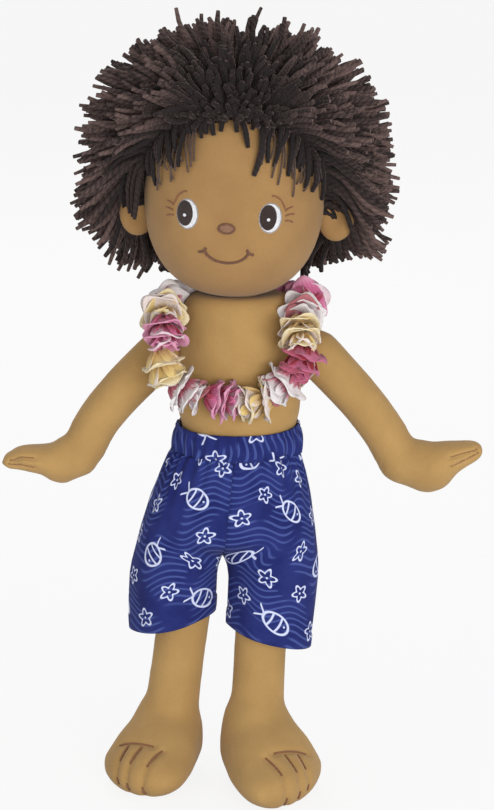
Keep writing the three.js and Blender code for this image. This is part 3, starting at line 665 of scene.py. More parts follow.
for side, x in faceSet["eyes"].items():
    sign = sides[side]
    z = -faceSet["drop"]
    rim = patch(side + "EyeRim", x, z, *faceSet["rim"], greyThread)
    stand(rim, "head", "eye_white")
    white = patch(side + "EyeWhite", x, z, *faceSet["white"], eyeThread)
    stand(white, "head", "eye_white", side + "_eye_white")
    lines = [[(x + sign * out, z + up) for out, up in line] for line in (faceSet["lid"], *faceSet["lashes"])]
    x += faceSet["aside"]
    iris = patch(side + "Iris", x, z + faceSet["irisUp"], *faceSet["iris"], irisThread, faceSet["irisLift"])
    stand(iris, "head", "iris_thread", side + "_iris")
    glint = patch(side + "Glint", x, z + faceSet["glintUp"], *faceSet["glint"], eyeThread,
                  faceSet["glintLift"])
    stand(glint, "head", "eye_white")
    lashes = faceLines(side + "Lashes", lines, toeThread, *faceSet["lashThread"])
    stand(lashes, "head", "brown_thread")
nose = patch("noseStitch", *faceSet["nose"], noseThread)
stand(nose, "head", "brown_thread", "nose_stitch")
noseX, noseZ, noseWide, noseHigh = faceSet["nose"][:4]
angles = [i * pi / 8 for i in range(17)]
noseRim = [(noseX + noseWide * cos(angle), noseZ + noseHigh * sin(angle)) for angle in angles]
stand(faceLines("noseRim", [noseRim], brownThread, *faceSet["noseThread"]), "head", "brown_thread")
smile = [faceSet["smile"], *faceSet["ticks"]]
mouth = faceLines("mouthStitch", smile, brownThread, *faceSet["mouthThread"])
stand(mouth, "head", "brown_thread", "mouth_stitch")

# ears: small stuffed pads set on the side seam
earSet = {
    "half": (9, 4.2, 11.5), "dent": 2.6, "dentOut": 0.05, "dentWide": 0.22,
    "right": (-48, 3, -15), "left": (50.5, 3, -12.5),
}
for side, sign in sides.items():
    def earPoint(way):
        point = way * Vector(earSet["half"])
        if way.y < 0:
            off = (way.x * sign - earSet["dentOut"]) ** 2 + way.z ** 2
            point.y += earSet["dent"] * exp(-off / earSet["dentWide"])
        return headFrame @ (point + Vector(earSet[side]))

    ear = ballPiece(side + "Ear", faceCloth, 40, 28, earPoint)
    stand(ear, "head", "skin_cloth", side + "_ear")
print("head made")


# hair: yarn strands sewn to a cap, in a ball round the head
hairSet = {
    "count": 3800, "radius": 1.4, "half": (83, 75), "rise": 79, "fall": (58, 51), "middle": (0, 8, 5),
    "full": (2.3, 4),  # how square the ball is above and below its middle
    "whorl": (0, -0.64, 0.77), "root": 0.42, "comb": 0.75, "combNear": (0.1, 0.6), "combFar": (2.6, 1.4),
    "dimple": 0.13, "dimpleWide": 0.5, "droop": 0.25, "girth": (0.86, 1.14), "bumps": (0.94, 1.06),
    "clumps": 420, "clump": 0.5, "loose": 36, "spread": 0.05, "clumpSpread": 0.06, "ragged": 0.17,
    "wiggle": 2.4, "bend": 0.45, "handles": (0.38, 0.32), "sunk": 0.985, "sides": 1.1,
    "edge": -5, "slope": 35, "nape": -38, "slack": 5, "points": 7, "seed": 11, "faceGap": 1.2,
    "short": 1.17, "shortRun": (-6, 26), "temple": 40, "templeRun": (14, 32),  # shorter over the forehead
    "tries": 8, "backward": (0, 0.12, 0.1),  # moves a root before the hairline behind it
    "cap": 1.3, "capEdge": 4, "capWall": 0.9, "taper": [1, 1.03, 1.06, 1.06, 1.02, 0.94, 0.7],
}
hairNodes = {"hairFront": "hair_front", "hairBack": "hair_back", "hairRightSide": "hair_right_side",
             "hairLeftSide": "hair_left_side"}
draw = random.Random(hairSet["seed"])
hairMiddle = Vector(hairSet["middle"])
slope = radians(hairSet["slope"])
hairNormal = Vector((0, cos(slope), sin(slope)))
whorl = Vector(hairSet["whorl"])  # the strands are combed away from here


def scalp(way):
    way = way.normalized()
    return way * headReach(way)


def bears(point, slack=0.0):  # whether this place of the head has hair
    return point.dot(hairNormal) > hairSet["edge"] - slack and point.z > hairSet["nape"] - slack


def ballReach(way):
    half = hairSet["half"]
    high = hairSet["rise"] if way.z > 0 else mix(*hairSet["fall"], ease(-0.6, 0.6, way.x))
    power = hairSet["full"][0 if way.z > 0 else 1]
    flat = hypot(way.x / half[0], way.y / half[1])
    return (flat ** power + abs(way.z / high) ** power) ** (-1 / power)


def randomWay():
    return Vector((draw.gauss(0, 1), draw.gauss(0, 1), draw.gauss(0, 1))).normalized()


def strand(root, tip, endWay):  # from the scalp out to the tip, in head millimetres
    length = (tip - root).length
    near, far = hairSet["handles"]
    first = root + root.normalized() * length * near
    second = tip - endWay * length * far
    sway = randomWay() * hairSet["wiggle"]
    phase = draw.uniform(0, 6.28)
    line = []
    for t in evenly(hairSet["points"]):
        u = 1 - t
        point = root * u ** 3 + first * 3 * t * u ** 2 + second * 3 * t * t * u + tip * t ** 3
        line.append(headFrame @ (point + sway * sin(phase + t * 5) * t))
    return line


def onBall(i, count):  # evenly spread directions
    height = 1 - 2 * (i + 0.5) / count
    around = i * pi * (3 - sqrt(5))
    flat = sqrt(1 - height * height)
    return Vector((flat * cos(around), flat * sin(around), height))


locks = {name: [] for name in hairNodes}
clumps = kdtree.KDTree(hairSet["clumps"])
for i in range(hairSet["clumps"]):
    way = onBall(i, hairSet["clumps"]) + randomWay() * hairSet["clumpSpread"]
    clumps.insert(way.normalized(), i)
clumps.balance()
shorter = [draw.random() ** 1.5 for i in range(hairSet["clumps"])]
for i in range(hairSet["count"]):
    way = (onBall(i, hairSet["count"]) + randomWay() * hairSet["spread"]).normalized()
    centre, clump = clumps.find(way)[:2]
    inside = scalp(hairMiddle + way * ballReach(way)).dot(hairNormal) - hairSet["edge"]
    way = way.lerp(centre, hairSet["clump"] * ease(0, hairSet["loose"], inside)).normalized()
    ragged = hairSet["ragged"] * (0.7 * shorter[clump] + 0.3 * draw.random())
    off = way.angle(whorl)
    dimple = hairSet["dimple"] * bell(off / hairSet["dimpleWide"])
    tip = hairMiddle + way * ballReach(way) * (1 - ragged) * (1 - dimple)
    below = scalp(tip)
    if not bears(below, hairSet["slack"]):
        continue
    temple = hairSet["temple"] * ease(*hairSet["templeRun"], abs(below.x))
    inside = below.dot(hairNormal) - hairSet["edge"] + temple
    tip = (below * hairSet["short"]).lerp(tip, ease(*hairSet["shortRun"], inside))
    lift = whorl * hairSet["root"]
    root = scalp(tip.normalized() + lift)
    tries = 0
    while not bears(root) and tries < hairSet["tries"]:
        lift += Vector(hairSet["backward"])
        root = scalp(tip.normalized() + lift)
        tries += 1
    combed = hairSet["comb"] * ease(*hairSet["combNear"], off) * ease(*hairSet["combFar"], off)
    comb = (way - whorl * way.dot(whorl)).normalized() * combed
    droop = Vector((0, 0, -hairSet["droop"])) * (1 - abs(way.z))
    endWay = (way + comb + droop + randomWay() * hairSet["bend"]).normalized()
    side = tip - hairMiddle
    if abs(side.x) > abs(side.y) * hairSet["sides"]:
        group = "hairRightSide" if side.x < 0 else "hairLeftSide"
    else:
        group = "hairFront" if side.y < 0 else "hairBack"
    locks[group].append(strand(root * hairSet["sunk"], tip, endWay))


def overFace(path, lift):  # a strand that lies over the face, by places seen from the front
    line = []
    for (x, z), share in zip(spread(path, hairSet["points"]), evenly(hairSet["points"])):
        arch = sin(pi * min((1 - share) * 1.1, 1))
        line.append(onFace(x, z, hairSet["faceGap"] + lift * arch)[0])
    return line


# short strands that fall over the hairline, which drops to both sides
browSet = {
    "count": 30, "half": 40, "high": 37, "drop": 0.0185, "root": 13, "over": (-3, 5), "temple": 9,
    "templeRun": (18, 36), "lift": (2.5, 5.5), "sway": 2.2, "bend": 6,
    "splay": (0.92, 0.98, 1.03),  # of root, bend and tip
}


def hairline(x):  # its height on the face
    return browSet["high"] - browSet["drop"] * x * x


for i in range(browSet["count"]):
    x = mix(-browSet["half"], browSet["half"], (i + 0.5) / browSet["count"]) + draw.uniform(-1, 1)
    edge = hairline(x)
    over = draw.uniform(*browSet["over"])
    over += draw.uniform(0, browSet["temple"]) * ease(*browSet["templeRun"], abs(x))
    rootX, bendX, tipX = [x * share for share in browSet["splay"]]
    tip = (tipX + draw.uniform(-browSet["sway"], browSet["sway"]), edge - over)
    path = [(rootX, edge + browSet["root"]), (bendX, edge + browSet["bend"]), tip]
    locks["hairFront"].append(overFace(path, draw.uniform(*browSet["lift"])))

# fringe on the forehead
fringeSet = {"in": 0.96, "rise": 9, "sway": 1.5, "lift": 2.6}
fringe = [  # root and tip by place on the face, in mm
    (4, 39, 8, 25.7), (13.4, 34, 11.4, 13), (-20, 36, -24.7, 14.4), (-12.5, 38, -14.2, 28.6),
    (26.5, 33, 27, 12.5), (33.4, 28, 37.3, 11.5), (22, 34, 20.2, 17), (-30, 31, -33.5, 18.8),
    (-35.4, 27, -39.8, 7), (30, 31, 32.5, 14), (-26, 34, -29.5, 16), (17.5, 36, 17.5, 19),
    (-38, 20, -43.5, -2), (38, 21, 42.5, -1),
]
for rootX, rootZ, tipX, tipZ in fringe:
    sway = draw.uniform(-fringeSet["sway"], fringeSet["sway"])
    halfway = (mix(rootX, tipX, 0.5) + sway, mix(rootZ, tipZ, 0.5))
    behind = (rootX * fringeSet["in"], rootZ + fringeSet["rise"])
    path = [behind, (rootX, rootZ), halfway, (tipX, tipZ)]
    locks["hairFront"].append(overFace(path, fringeSet["lift"]))

# single plies that have come loose over the forehead, on both sides of its middle
wispSet = {
    "count": 11, "right": (-35, -15), "left": (13, 37), "fall": (7, 19), "girth": 0.36, "sway": 2,
    "root": 6, "bend": -3, "lift": 1.5, "splay": (0.95, 1, 1.02),
}
wisps = []
for side in sides:
    for i in range(wispSet["count"]):
        x = mix(*wispSet[side], (i + draw.random()) / wispSet["count"])
        edge = hairline(x)
        rootX, bendX, tipX = [x * share for share in wispSet["splay"]]
        tip = (tipX + draw.uniform(-wispSet["sway"], wispSet["sway"]), edge - draw.uniform(*wispSet["fall"]))
        path = [(rootX, edge + wispSet["root"]), (bendX, edge + wispSet["bend"]), tip]
        wisps.append(overFace(path, wispSet["lift"]))
stand(curvePiece("hairWisps", wisps, hairSet["radius"] * wispSet["girth"] * mm, wispYarn), "head", "yarn")

# strands that hang before the right ear, by root direction and tip
earLock = [((-0.84, -0.32, 0.3), (-49, -13, -15)), ((-0.86, -0.26, 0.28), (-52, -11, -12)),
           ((-0.88, -0.2, 0.3), (-56, -8, -10)), ((-0.82, -0.36, 0.24), (-46.5, -17, -13))]
down = Vector((-0.1, 0, -1)).normalized()
for rootWay, tip in earLock:
    locks["hairFront"].append(strand(scalp(Vector(rootWay)), Vector(tip), down))

# loose ends that stand above the crown: place across, height and lean
stray = [(-33, 87, -8), (-20, 85.5, -2), (-11.5, 87, 2), (9.5, 90, 6), (21.5, 87, 1), (33, 80, 5),
         (-40, 77.5, -9)]
for x, z, lean in stray:
    root = scalp(Vector((x * 0.45, 6, 50)))
    locks["hairFront"].append(strand(root, Vector((x, -4, z)), Vector((lean * 0.06, 0, 1)).normalized()))

for name, lines in locks.items():
    girths = []
    for line in lines:
        girth = draw.uniform(*hairSet["girth"])
        girths.append([girth * share * draw.uniform(*hairSet["bumps"]) for share in hairSet["taper"]])
    piece = curvePiece(name, lines, hairSet["radius"] * mm, hairYarn, 1, girths)
    stand(piece, "head", "yarn", hairNodes[name])

bm = bmesh.new()
ballForm(bm, 64, 40, lambda way: way.normalized() * (headReach(way.normalized()) + hairSet["cap"]))
edge = hairNormal * (hairSet["edge"] + hairSet["capEdge"])
for point, normal in ((edge, hairNormal), ((0, 0, hairSet["nape"]), (0, 0, 1))):
    whole = bm.verts[:] + bm.edges[:] + bm.faces[:]
    bmesh.ops.bisect_plane(bm, geom=whole, plane_co=point, plane_no=normal, clear_inner=True)
bmesh.ops.transform(bm, matrix=headFrame, verts=bm.verts)
bmesh.ops.solidify(bm, geom=bm.faces[:], thickness=-hairSet["capWall"] * mm)
bmesh.ops.recalc_face_normals(bm, faces=bm.faces[:])
hairCap = addPiece(bm, "hairCap", hairYarn)
stand(hairCap, "head", "yarn", "hair_cap")
print("hair made:", sum(len(lines) for lines in locks.values()), "strands")


# torso: front and back panel, stuffed, and the neck that the head turns on
torsoSet = {
    # half width and height
    "outline": [(0, 142), (17.4, 142.8), (25.5, 147), (27.8, 156), (28.4, 171), (28.6, 183), (30.3, 190),
                (31, 200), (30.7, 213), (30, 226), (29.2, 236), (27.6, 244), (24, 249), (18.5, 250.3),
                (9, 249.2), (0, 248.9)],
    "depth": 0.8, "across": 48, "rings": 44, "belly": 1.0, "bellyAt": 188, "bellyHigh": 20, "cap": 0.0012,
    "steps": 160,
}
torsoLine = spread(torsoSet["outline"], torsoSet["steps"])


def upShare(way):  # how far up a ball a direction points, from 0 to 1
    return acos(max(-1, min(1, -way.z))) / pi


def torsoPoint(way):
    half, z = torsoLine[int(upShare(way) * (torsoSet["steps"] - 1))]
    angle = atan2(way.y, way.x)
    belly = torsoSet["belly"] * bell((z - torsoSet["bellyAt"]) / torsoSet["bellyHigh"])
    belly *= max(-sin(angle), 0)
    return at(half * cos(angle), half * torsoSet["depth"] * sin(angle) - belly, z)


torsoSkin = ballPiece("torsoSkin", skinCloth, torsoSet["across"], torsoSet["rings"], torsoPoint)
stuffed(torsoSkin, torsoSet["cap"])
finer(torsoSkin)
stand(torsoSkin, "torso", "skin_cloth", "torso_front_panel", "torso_back_panel", "torso_stuffing")

neckLow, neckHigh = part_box("neck_plug")
neckMiddle, neckHalf = (neckLow + neckHigh) / 2, (neckHigh - neckLow) / 2
neckSkin = ballPiece("neckSkin", skinCloth, 32, 20, lambda way: neckMiddle + neckHalf * Vector((
    way.x, way.y, way.z * (0.92 + 0.08 * abs(way.z)))))
stand(neckSkin, "neck", "skin_cloth", "neck_plug")


tubeSet = {"across": 36, "rings": 44, "steps": 120, "round": 10}


def tubeForm(bm, stations, upright, startRound=tubeSet["round"], endRound=tubeSet["round"]):
    # stations: x, y, z, half height, half depth in mm; upright lies across the tube's depth
    last = tubeSet["steps"] - 1
    line = spread(stations, tubeSet["steps"])
    places = [at(*point[:3]) for point in line]
    run = [0.0]
    for a, b in zip(places, places[1:]):
        run.append(run[-1] + (b - a).length / mm)

    def rounded(gap, reach):
        return sqrt(max(1 - (1 - min(gap / reach, 1)) ** 2, 0))

    def shape(way):
        place = upShare(way) * (last - 1)
        i = int(place)
        along = (places[i + 1] - places[max(i - 1, 0)]).normalized()
        centre = places[i].lerp(places[i + 1], place - i)
        high = along.cross(upright).normalized()
        gone = mix(run[i], run[i + 1], place - i)
        cap = rounded(gone, startRound) * rounded(run[last] - gone, endRound)
        angle = atan2(way.y, way.x)
        halfHigh, halfDeep = line[i][3] * cap * mm, line[i][4] * cap * mm
        return centre + high * cos(angle) * halfHigh + upright * sin(angle) * halfDeep

    ballForm(bm, tubeSet["across"], tubeSet["rings"], shape)


# arms: a stuffed tube that bends at the wrist into a flat mitten hand with stitched fingers
armSet = {
    "voxel": 0.0022, "smooth": 3, "groove": (0.0030, 0.0015), "sunk": 0.0012, "thread": 0.0004, "points": 16,
    "right": {
        "arm": [(-31, 0, 227, 11.5, 11.6), (-38, 0, 220.5, 12, 11.8), (-49.5, 0, 209.5, 11.8, 11.6),
                (-60, 0, 198.5, 11.5, 11.4), (-69.8, 0, 186.5, 11.2, 11), (-76.3, 0, 174.5, 11, 10.6),
                (-79.5, -1, 161.5, 10, 10.4)],
        "hand": [(-71, 0, 162.5, 8, 10), (-80, -1, 165, 9.4, 11), (-87, -2, 165.2, 11.9, 12.2),
                 (-91.5, -3, 165, 11, 12.6), (-96.5, -4, 166, 8, 12.4), (-103, -5, 166.8, 7, 11.8),
                 (-109, -6, 167.4, 6.2, 10.4), (-113, -7, 166.4, 4.6, 8.6), (-119.5, -8, 166.8, 3.2, 6.2)],
    },
    "left": {
        "arm": [(31, 0, 227, 11.5, 11.6), (38, 0, 220.5, 12, 11.8), (49, 0, 208.8, 11.7, 11.6),
                (60, 0, 196.5, 11.4, 11.4), (69, 0, 184.8, 11.2, 11), (76, 0, 173.5, 11, 10.6),
                (79.5, -1, 160.5, 10, 10.4)],
        "hand": [(70, 0, 161, 8.5, 10), (79, -1, 163, 10.4, 11), (88, -2, 163.2, 12.6, 12.2),
                 (96, -4, 162.4, 13.3, 12.6), (103.5, -5, 166.4, 9.7, 11.8), (111, -6, 169.2, 7.1, 10.4),
                 (117, -7, 171.2, 5.4, 8.6), (122.5, -8, 173.4, 3.2, 6.2)],
    },
    # finger lines on the front of the hand: height at the palm and at the tip, start and end along
    "fingers": [(2.6, 1.4, 0.62, 0.90), (-2.4, -0.6, 0.62, 0.92)],
}
backward = Vector((0, 1, 0))
for side in sides:
    bm = bmesh.new()
    tubeForm(bm, armSet[side]["arm"], backward)
    tubeForm(bm, armSet[side]["hand"], backward, startRound=9, endRound=4)
    armSkin = addPiece(bm, side + "ArmSkin", skinCloth)
    remeshed(armSkin, armSet["voxel"], armSet["smooth"])
    stuffed(armSkin)
    finer(armSkin)
    armTree = treeOf(armSkin)
    hand = spread(armSet[side]["hand"], 60)
    lines = []
    for low, high, start, end in armSet["fingers"]:
        line = []
        for share in evenly(armSet["points"]):
            x, y, z = hand[int(mix(start, end, share) * (len(hand) - 1))][:3]
            hit = armTree.ray_cast(at(x, y - 60, z + mix(low, high, share)), backward)[0]
            if hit is not None:
                line.append(hit)
        lines.append(line)
    pullIn(armSkin, lines, *armSet["groove"])
    stitched = [[point + backward * armSet["sunk"] for point in line] for line in lines]
    # the brown of these stitches also paints the shade in the creases
    fingers = curvePiece(side + "FingerStitches", stitched, armSet["thread"], fingerThreadAndShade, 2)
    nodes = [side + "_arm_" + part for part in ("front_panel", "back_panel", "stuffing")]
    stand(armSkin, side + "_arm", "skin_cloth", *nodes)
    stand(fingers, side + "_arm", "brown_thread")
print("arms made")


# legs: a tapering tube that runs into a foot on a flat sole, with stitched toes
legSet = {
    "thigh": 14, "ankle": 12.9, "flare": 2.4, "instep": 20, "toe": 13, "press": 4, "voxel": 0.0024,
    "heelBack": 17, "footLength": 66, "heelHalf": 17.5, "groove": (0.0044, 0.0018), "sunk": 0.0013,
    "smooth": 3, "thread": 0.0005, "points": 18,
    "heel": {"right": 26.5, "left": 29}, "top": {"right": 20.5, "left": 22.5},
    "footHalf": {"right": 24, "left": 26.5}, "slant": {"right": 0.25, "left": 0.48},
    "turnOut": {"right": 22, "left": 26}, "lean": {"right": 7.5, "left": 3},
    "step": {"right": 4, "left": -10},
    # toe lines: first and last place across, first and last angle about the toes' middle
    "toes": [(-11.3, -6.5, 60, -22), (0.2, 3, 62, -22), (8.7, 9.8, 65, -18)], "toeMiddle": 27,
    "crease": (-6, 15, 66, 76), "hidden": (9, 14),
}
for side, sign in sides.items():
    hip = jointAt[side + "_hip_bend"] / mm
    drop = hip.z - legSet["instep"]
    ankleX = hip.x - tan(radians(legSet["lean"][side])) * drop
    ankleY = legSet["step"][side]
    out = radians(legSet["turnOut"][side])
    toeward = Vector((sign * sin(out), -cos(out), 0))
    sideways = Vector((0, 0, 1)).cross(toeward)
    foot = []
    forward = legSet["footLength"] - legSet["heelBack"]
    for share in (0, 0.08, 0.2, 0.36, 0.52, 0.68, 0.82, 0.93, 1):
        reach = mix(-legSet["heelBack"], forward, share)
        high = mix(legSet["top"][side], legSet["toe"], ease(0.3, 0.8, share))
        high += (legSet["heel"][side] - legSet["top"][side]) * ease(0.38, 0.12, share)
        wide = mix(legSet["heelHalf"], legSet["footHalf"][side], ease(0.1, 0.7, share))
        place = (ankleX + toeward.x * reach, ankleY + toeward.y * reach, high - legSet["press"])
        foot.append((*place, high, wide))
    leg = []
    for share in (-0.11, 0, 0.2, 0.4, 0.6, 0.8, 1):
        half = mix(legSet["thigh"], legSet["ankle"], share) + legSet["flare"] * ease(0.7, 1, share)
        z = mix(hip.z, legSet["instep"], share)
        leg.append((mix(hip.x, ankleX, share), mix(0, ankleY, share), z, half, half))
    bm = bmesh.new()
    tubeForm(bm, leg, backward, startRound=14)
    tubeForm(bm, foot, sideways, startRound=16, endRound=19)
    legSkin = addPiece(bm, side + "LegSkin", skinCloth)
    remeshed(legSkin, legSet["voxel"], legSet["smooth"])
    ankle = at(ankleX, ankleY, 0)
    for vert in legSkin.data.vertices:  # the toes run back towards the outside
        ahead = (vert.co - ankle).dot(toeward) / mm
        aside = (vert.co - ankle).dot(sideways) * sign
        vert.co -= toeward * aside * legSet["slant"][side] * ease(8, 45, ahead) * ease(44, 26, vert.co.z / mm)
    stuffed(legSkin)
    finer(legSkin)
    for vert in legSkin.data.vertices:
        vert.co.z = max(vert.co.z, 0.0)
    legTree = treeOf(legSkin)

    def toePoint(across, angle):  # on the toes' skin, by place across and angle above the front
        spot = Vector((ankleX, ankleY, 0)) + toeward * legSet["toeMiddle"] + sideways * across * sign
        way = toeward * cos(radians(angle)) + Vector((0, 0, sin(radians(angle))))
        return legTree.ray_cast(at(spot.x, spot.y, legSet["toe"] - legSet["press"]), way)[0]

    lines = []
    shares = evenly(legSet["points"])
    for top, bottom, first, last in legSet["toes"]:
        lines.append([toePoint(mix(bottom, top, (1 - t) ** 2), mix(first, last, t)) for t in shares])
    inside, outside, first, last = legSet["crease"]
    lines.append([toePoint(mix(inside, outside, t), mix(first, last, t)) for t in shares])
    pullIn(legSkin, lines, *legSet["groove"])
    sunk = [[point - (point - ankle).normalized() * legSet["sunk"] for point in line] for line in lines]
    start, end = legSet["hidden"]  # halfway down the toes
    sunk = [part for line in sunk[:-1] for part in (line[:start], line[end:])] + sunk[-1:]
    toes = curvePiece(side + "ToeStitches", sunk, legSet["thread"], toeThread, 2)
    nodes = [side + "_" + part for part in ("leg_front_panel", "leg_back_panel", "leg_stuffing", "sole")]
    stand(legSkin, side + "_leg", "skin_cloth", *nodes)
    stand(toes, side + "_leg", "brown_thread")
print("legs made")


# shorts: two halves with a middle seam, gathered into an elastic waistband
shortsSet = {
    # height, outer edge right, outer edge left, middle or inner edge right and left, half depth
    "rows": [(171, -33.8, 29.8, -2.5, -2.5, 25.8), (160, -39, 32.5, -3.5, -3.5, 27),
             (145, -45.5, 35, -5, -5, 28), (130, -50, 37.3, -6.5, -6.5, 28),
             (116, -53.2, 39, -8.2, -8.2, 26.5), (111, -54.3, 39.2, -10.2, -6.2, 25.6),
             (105, -55, 39, -11.2, -5.4, 25), (90, -55, 37.8, -12, -6, 24),
             (68, -53.8, 36, -13.2, -7, 23.5)],
    "top": 171, "parting": (128, 112), "hem": {"right": (77, 87), "left": (70, 82)}, "thick": 0.9,
    "across": 120, "down": 60, "gather": 1.2, "gathers": 15, "gatherFade": 15, "fold": 2.08,
    "foldSize": (3.2, 1.6), "legFold": 0.7, "legFolds": 4, "crease": 1.0, "creaseAt": 124, "creaseRise": 26,
    "creaseWide": 3.5, "tuck": 1.2, "tuckFade": 2.5, "seam": 0.8, "seamWide": 0.008,
    "hemFold": 0.5, "hemStitch": 0.35, "stitchWide": 0.7, "hemHigh": 6.6, "seed": 5,
    "web": (0.1135, 0.158),  # heights between which a half is closed along the middle seam
    # cloth of each half, and where the print starts so that the middle seams cut no motif
    "cut": {"right": (0.150, 0.098), "left": (0.150, 0.106)}, "shift": {"right": 0.0183, "left": 0.0493},
    "bend": (0.022, 0.028),  # above and below the hip
}


def shortsRow(z):  # the row at a height
    rows = shortsSet["rows"]
    k = next((i for i in range(1, len(rows)) if z >= rows[i][0]), len(rows) - 1)
    share = min(max((rows[k - 1][0] - z) / (rows[k - 1][0] - rows[k][0]), 0), 1)
    return [mix(a, b, share) for a, b in zip(rows[k - 1], rows[k])]


def shortsPoint(side, s, t):  # s from the middle front round the outside to the back, t down
    sign = sides[side]
    hemOut, hemIn = shortsSet["hem"][side]
    inward = 0.5 + 0.5 * cos(2 * pi * s)
    z = mix(shortsSet["top"], mix(hemOut, hemIn, inward), t)
    under = shortsSet["top"] - z
    row = shortsRow(z)
    outer, inner, depth = (row[1], row[3], row[5]) if side == "right" else (row[2], row[4], row[5])
    half = pi * s
    full = 2 * pi * s
    upX = inner + (outer - inner) * sin(half) ** 0.85
    upY = -depth * copysign(abs(cos(half)) ** 0.8, cos(half))
    lowX = mix(inner, outer, 0.5 - 0.5 * cos(full))
    lowY = -depth * sin(full)
    lower = ease(*shortsSet["parting"], z)
    x, y = mix(upX, lowX, lower), mix(upY, lowY, lower)
    centre = Vector((mix(inner, outer, mix(0.3, 0.5, lower)), 0))
    way = (Vector((x, y)) - centre).normalized()
    gather = exp(-under / shortsSet["gatherFade"]) * shortsSet["gather"]
    gather *= sin(full * shortsSet["gathers"] + 1.5 * noise.noise((s * 6, 0, sign)))
    wide, tall = shortsSet["foldSize"]
    spot = Vector((s * wide, t * tall, 4.0 * sign + shortsSet["seed"]))
    fold = shortsSet["fold"] * noise.noise(spot) * ease(0, 0.25, t)
    fold += shortsSet["legFold"] * sin(full * shortsSet["legFolds"] + sign + t * 2) * ease(0.3, 1, t)
    creaseZ = shortsSet["creaseAt"] + shortsSet["creaseRise"] * abs(s - 0.05)
    crease = bell((z - creaseZ) / shortsSet["creaseWide"]) * ease(0.34, 0.05, s)
    fold -= shortsSet["crease"] * crease
    fromHem = (1 - t) * under / max(t, 0.05) - shortsSet["hemHigh"]
    ridge = shortsSet["hemFold"] * ease(0.4, -0.4, fromHem)
    ridge -= shortsSet["hemStitch"] * bell(fromHem / shortsSet["stitchWide"])
    sideSeam = shortsSet["seam"] * bell((s - 0.5) / shortsSet["seamWide"])
    edge = ease(0, 0.05, s) * ease(1, 0.95, s)
    tuck = shortsSet["tuck"] * exp(-under / shortsSet["tuckFade"])  # under the waistband
    out = (gather + fold) * edge + ridge - sideSeam - tuck
    hip = jointAt[side + "_hip_bend"].z / mm
    y += legSet["step"][side] * lower * (hip - z) / (hip - legSet["instep"])
    return at(x + way.x * out, y + way.y * out, z)


for side, sign in sides.items():
    cut, shift = shortsSet["cut"][side], shortsSet["shift"][side]
    bm, uv = clothGrid(shortsSet["across"], shortsSet["down"],
                       lambda x, y: (x * cut[0] * sign + shift, (y + 0.5) * cut[1]))
    ends = {vert for vert in bm.verts if abs(vert.co.x) > 0.499}
    for vert in bm.verts:
        vert.co = shortsPoint(side, vert.co.x + 0.5, 0.5 - vert.co.y)
    low, high = shortsSet["web"]
    ends = {vert for vert in ends if low < vert.co.z < high}
    seam = [edge for edge in bm.edges if ends.issuperset(edge.verts)]
    for face in bmesh.ops.bridge_loops(bm, edges=seam)["faces"]:
        for loop in face.loops:
            loop[uv].uv = loop.vert.co.yz
    bmesh.ops.remove_doubles(bm, verts=bm.verts, dist=0.00002)
    half = clothPiece(bm, side + "ShortsHalf", shortsPrint, shortsSet["thick"], -1)
    hip = jointAt[side + "_hip_bend"]
    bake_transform(half)
    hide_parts("shorts_" + side + "_panel")
    area = clothArea(half)
    area = area if area < cut[0] * cut[1] else None

bandSet = {
    "low": 169.5, "high": 184.5, "half": 32.2, "taper": 1.4, "depth": 0.825, "ruffles": 30, "ruffle": 0.9,
    "dip": 1.6, "bulge": 0.6, "across": 276, "up": 12, "flatHigh": 0.016, "flatLong": 0.19, "shift": 0.12,
    "lean": (-1.0, -0.5), "ruffleShare": (0.95, 0.3),  # at the lower and upper edge
    "seam": 0.5, "seamAt": 0.82, "seamWide": 0.06,  # depth in mm, place and width in shares of the height
}
bm = clothGrid(bandSet["across"], bandSet["up"],  # the print runs upright
               lambda x, y: (y * bandSet["flatHigh"] + bandSet["shift"], x * bandSet["flatLong"]))[0]
for vert in bm.verts:
    angle = vert.co.x * 2 * pi + pi / 2
    share = vert.co.y + 0.5
    z = mix(bandSet["low"], bandSet["high"], share)
    bulge = bandSet["bulge"] * sin(pi * share)
    bulge -= bandSet["seam"] * bell((share - bandSet["seamAt"]) / bandSet["seamWide"])
    wave = sin(angle * bandSet["ruffles"] + 2 * noise.noise((angle * 3, 0, 7)))
    reach = bandSet["half"] - bandSet["taper"] * share ** 2 + bulge
    reach += bandSet["ruffle"] * wave * mix(*bandSet["ruffleShare"], share)
    lean = mix(*bandSet["lean"], share)
    dip = bandSet["dip"] * ease(0, 1, -sin(angle)) * share
    vert.co = at(reach * cos(angle) + lean, reach * bandSet["depth"] * sin(angle), z - dip)
bmesh.ops.remove_doubles(bm, verts=bm.verts, dist=0.00005)
band = clothPiece(bm, "shortsWaistband", shortsPrint, shortsSet["thick"], -1)
stand(band, "torso", "shorts_cloth", "shorts_waistband")
print("shorts made")


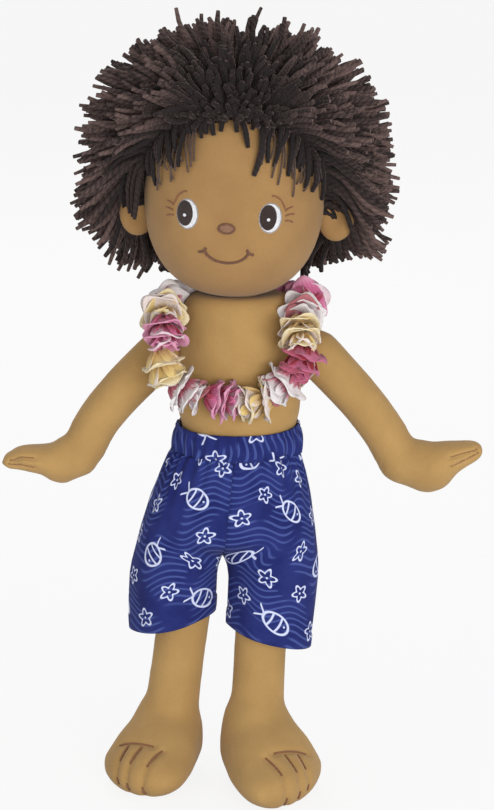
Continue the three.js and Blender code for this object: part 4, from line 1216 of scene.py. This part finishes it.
# garland: ruffled cloth blossoms threaded on a string through their hearts
leiSet = {
    "petals": 5, "wide": 0.62, "ruffle": 1.3, "flare": 2.2, "round": 19, "hang": 0.12, "seed": 21,
    "thick": 0.5, "clear": 0.7, "grid": 7, "askew": 0.15,
    "scallop": 0.28, "ruffles": 2.8, "tilt": 8, "lengths": (0.88, 1.1),
    "inward": 5.5, "upward": 4,  # how far the left side is drawn in and up
    # each layer of petals: place along the string, how steeply it opens, length
    "layers": [(-8, 36, 13.5), (-3, 48, 14.5), (2, 60, 11)],
    "tints": ("crimson", "pink", "pink", "pale", "cream", "crimson", "pale", "cream",
              "pink", "pale", "cream", "pink", "cream", "pale", "pink", "crimson"),
}
draw = random.Random(leiSet["seed"])
blossoms = sorted(name for name in frame["nodes"] if name.startswith("blossom_"))
spots = [sum(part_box(name), Vector()) / 2 for name in blossoms]
for spot in spots:  # the garland hangs a little askew
    share = ease(10, 30, spot.x / mm) * ease(5, -10, (spot.y - middle) / mm)
    spot.x -= leiSet["inward"] * mm * share
    spot.z += leiSet["upward"] * mm * share * ease(235, 215, spot.z / mm)
torsoTree = treeOf(torsoSkin)


def petal(bm, spot, axis, out, length, rise, shift):
    wide = axis.cross(out)
    way = (out * cos(rise) + axis * sin(rise) + Vector((0, 0, -leiSet["hang"]))).normalized()
    face = wide.cross(way)
    face *= copysign(1, face.dot(out))
    ruffle = draw.uniform(0, 6.28)
    grid = leiSet["grid"]
    made = bmesh.ops.create_grid(bm, x_segments=grid, y_segments=grid, size=0.5, calc_uvs=True)
    for vert in made["verts"]:
        a, b = vert.co.x * 2, vert.co.y + 0.5
        aside = leiSet["wide"] * length * a * sqrt(sin(pi * (0.07 + 0.78 * b)))
        run = length * b * (1 - leiSet["scallop"] * a * a * b)
        wave = leiSet["ruffle"] * sin(a * leiSet["ruffles"] + ruffle) * b * b
        lift = wave + leiSet["flare"] * b ** 3 - aside * aside / leiSet["round"]
        place = spot + (way * run + wide * aside + face * lift + axis * shift) * mm
        near, normal = torsoTree.find_nearest(place)[:2]
        clear = leiSet["clear"] * mm - (place - near).dot(normal)
        vert.co = place + normal * max(clear, 0)  # lies on the chest


for i, name in enumerate(blossoms):
    spot = spots[i]
    along = (spots[(i + 1) % len(spots)] - spots[i - 1]).normalized()
    if along.z > 0:  # the blossoms open downwards
        along = -along
    tint = leiSet["tints"][i]
    bm = bmesh.new()
    bm.loops.layers.uv.verify()
    for shift, rise, length in leiSet["layers"]:
        axis = (along + randomWay() * leiSet["askew"]).normalized()
        first = axis.orthogonal().normalized()
        start = draw.uniform(0, 6.28)
        slope = radians(rise + draw.uniform(-leiSet["tilt"], leiSet["tilt"]))
        for k in range(leiSet["petals"]):
            turned = start + 2 * pi * k / leiSet["petals"]
            turned += draw.uniform(-leiSet["askew"], leiSet["askew"])
            out = first * cos(turned) + axis.cross(first) * sin(turned)
            petal(bm, spot, axis, out, length * draw.uniform(*leiSet["lengths"]), slope, shift)
    blossom = clothPiece(bm, "blossom%02d" % (i + 1), petals[tint], leiSet["thick"], 0)
    stand(blossom, "garland", "petal_" + tint, name)
print("garland made")


# CAD pieces that stay, with their own finish
kept = {"waist_elastic": elasticWeave, "garland_string": garlandThread}
for name in ("right_hip_thread", "left_hip_thread", "right_shoulder_thread", "left_shoulder_thread"):
    kept[name] = brownThread
for name, material in kept.items():
    frame["nodes"][name].material_slots[0].material = material

low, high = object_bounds()
print("size", [round(v, 4) for v in (*low, *high)])
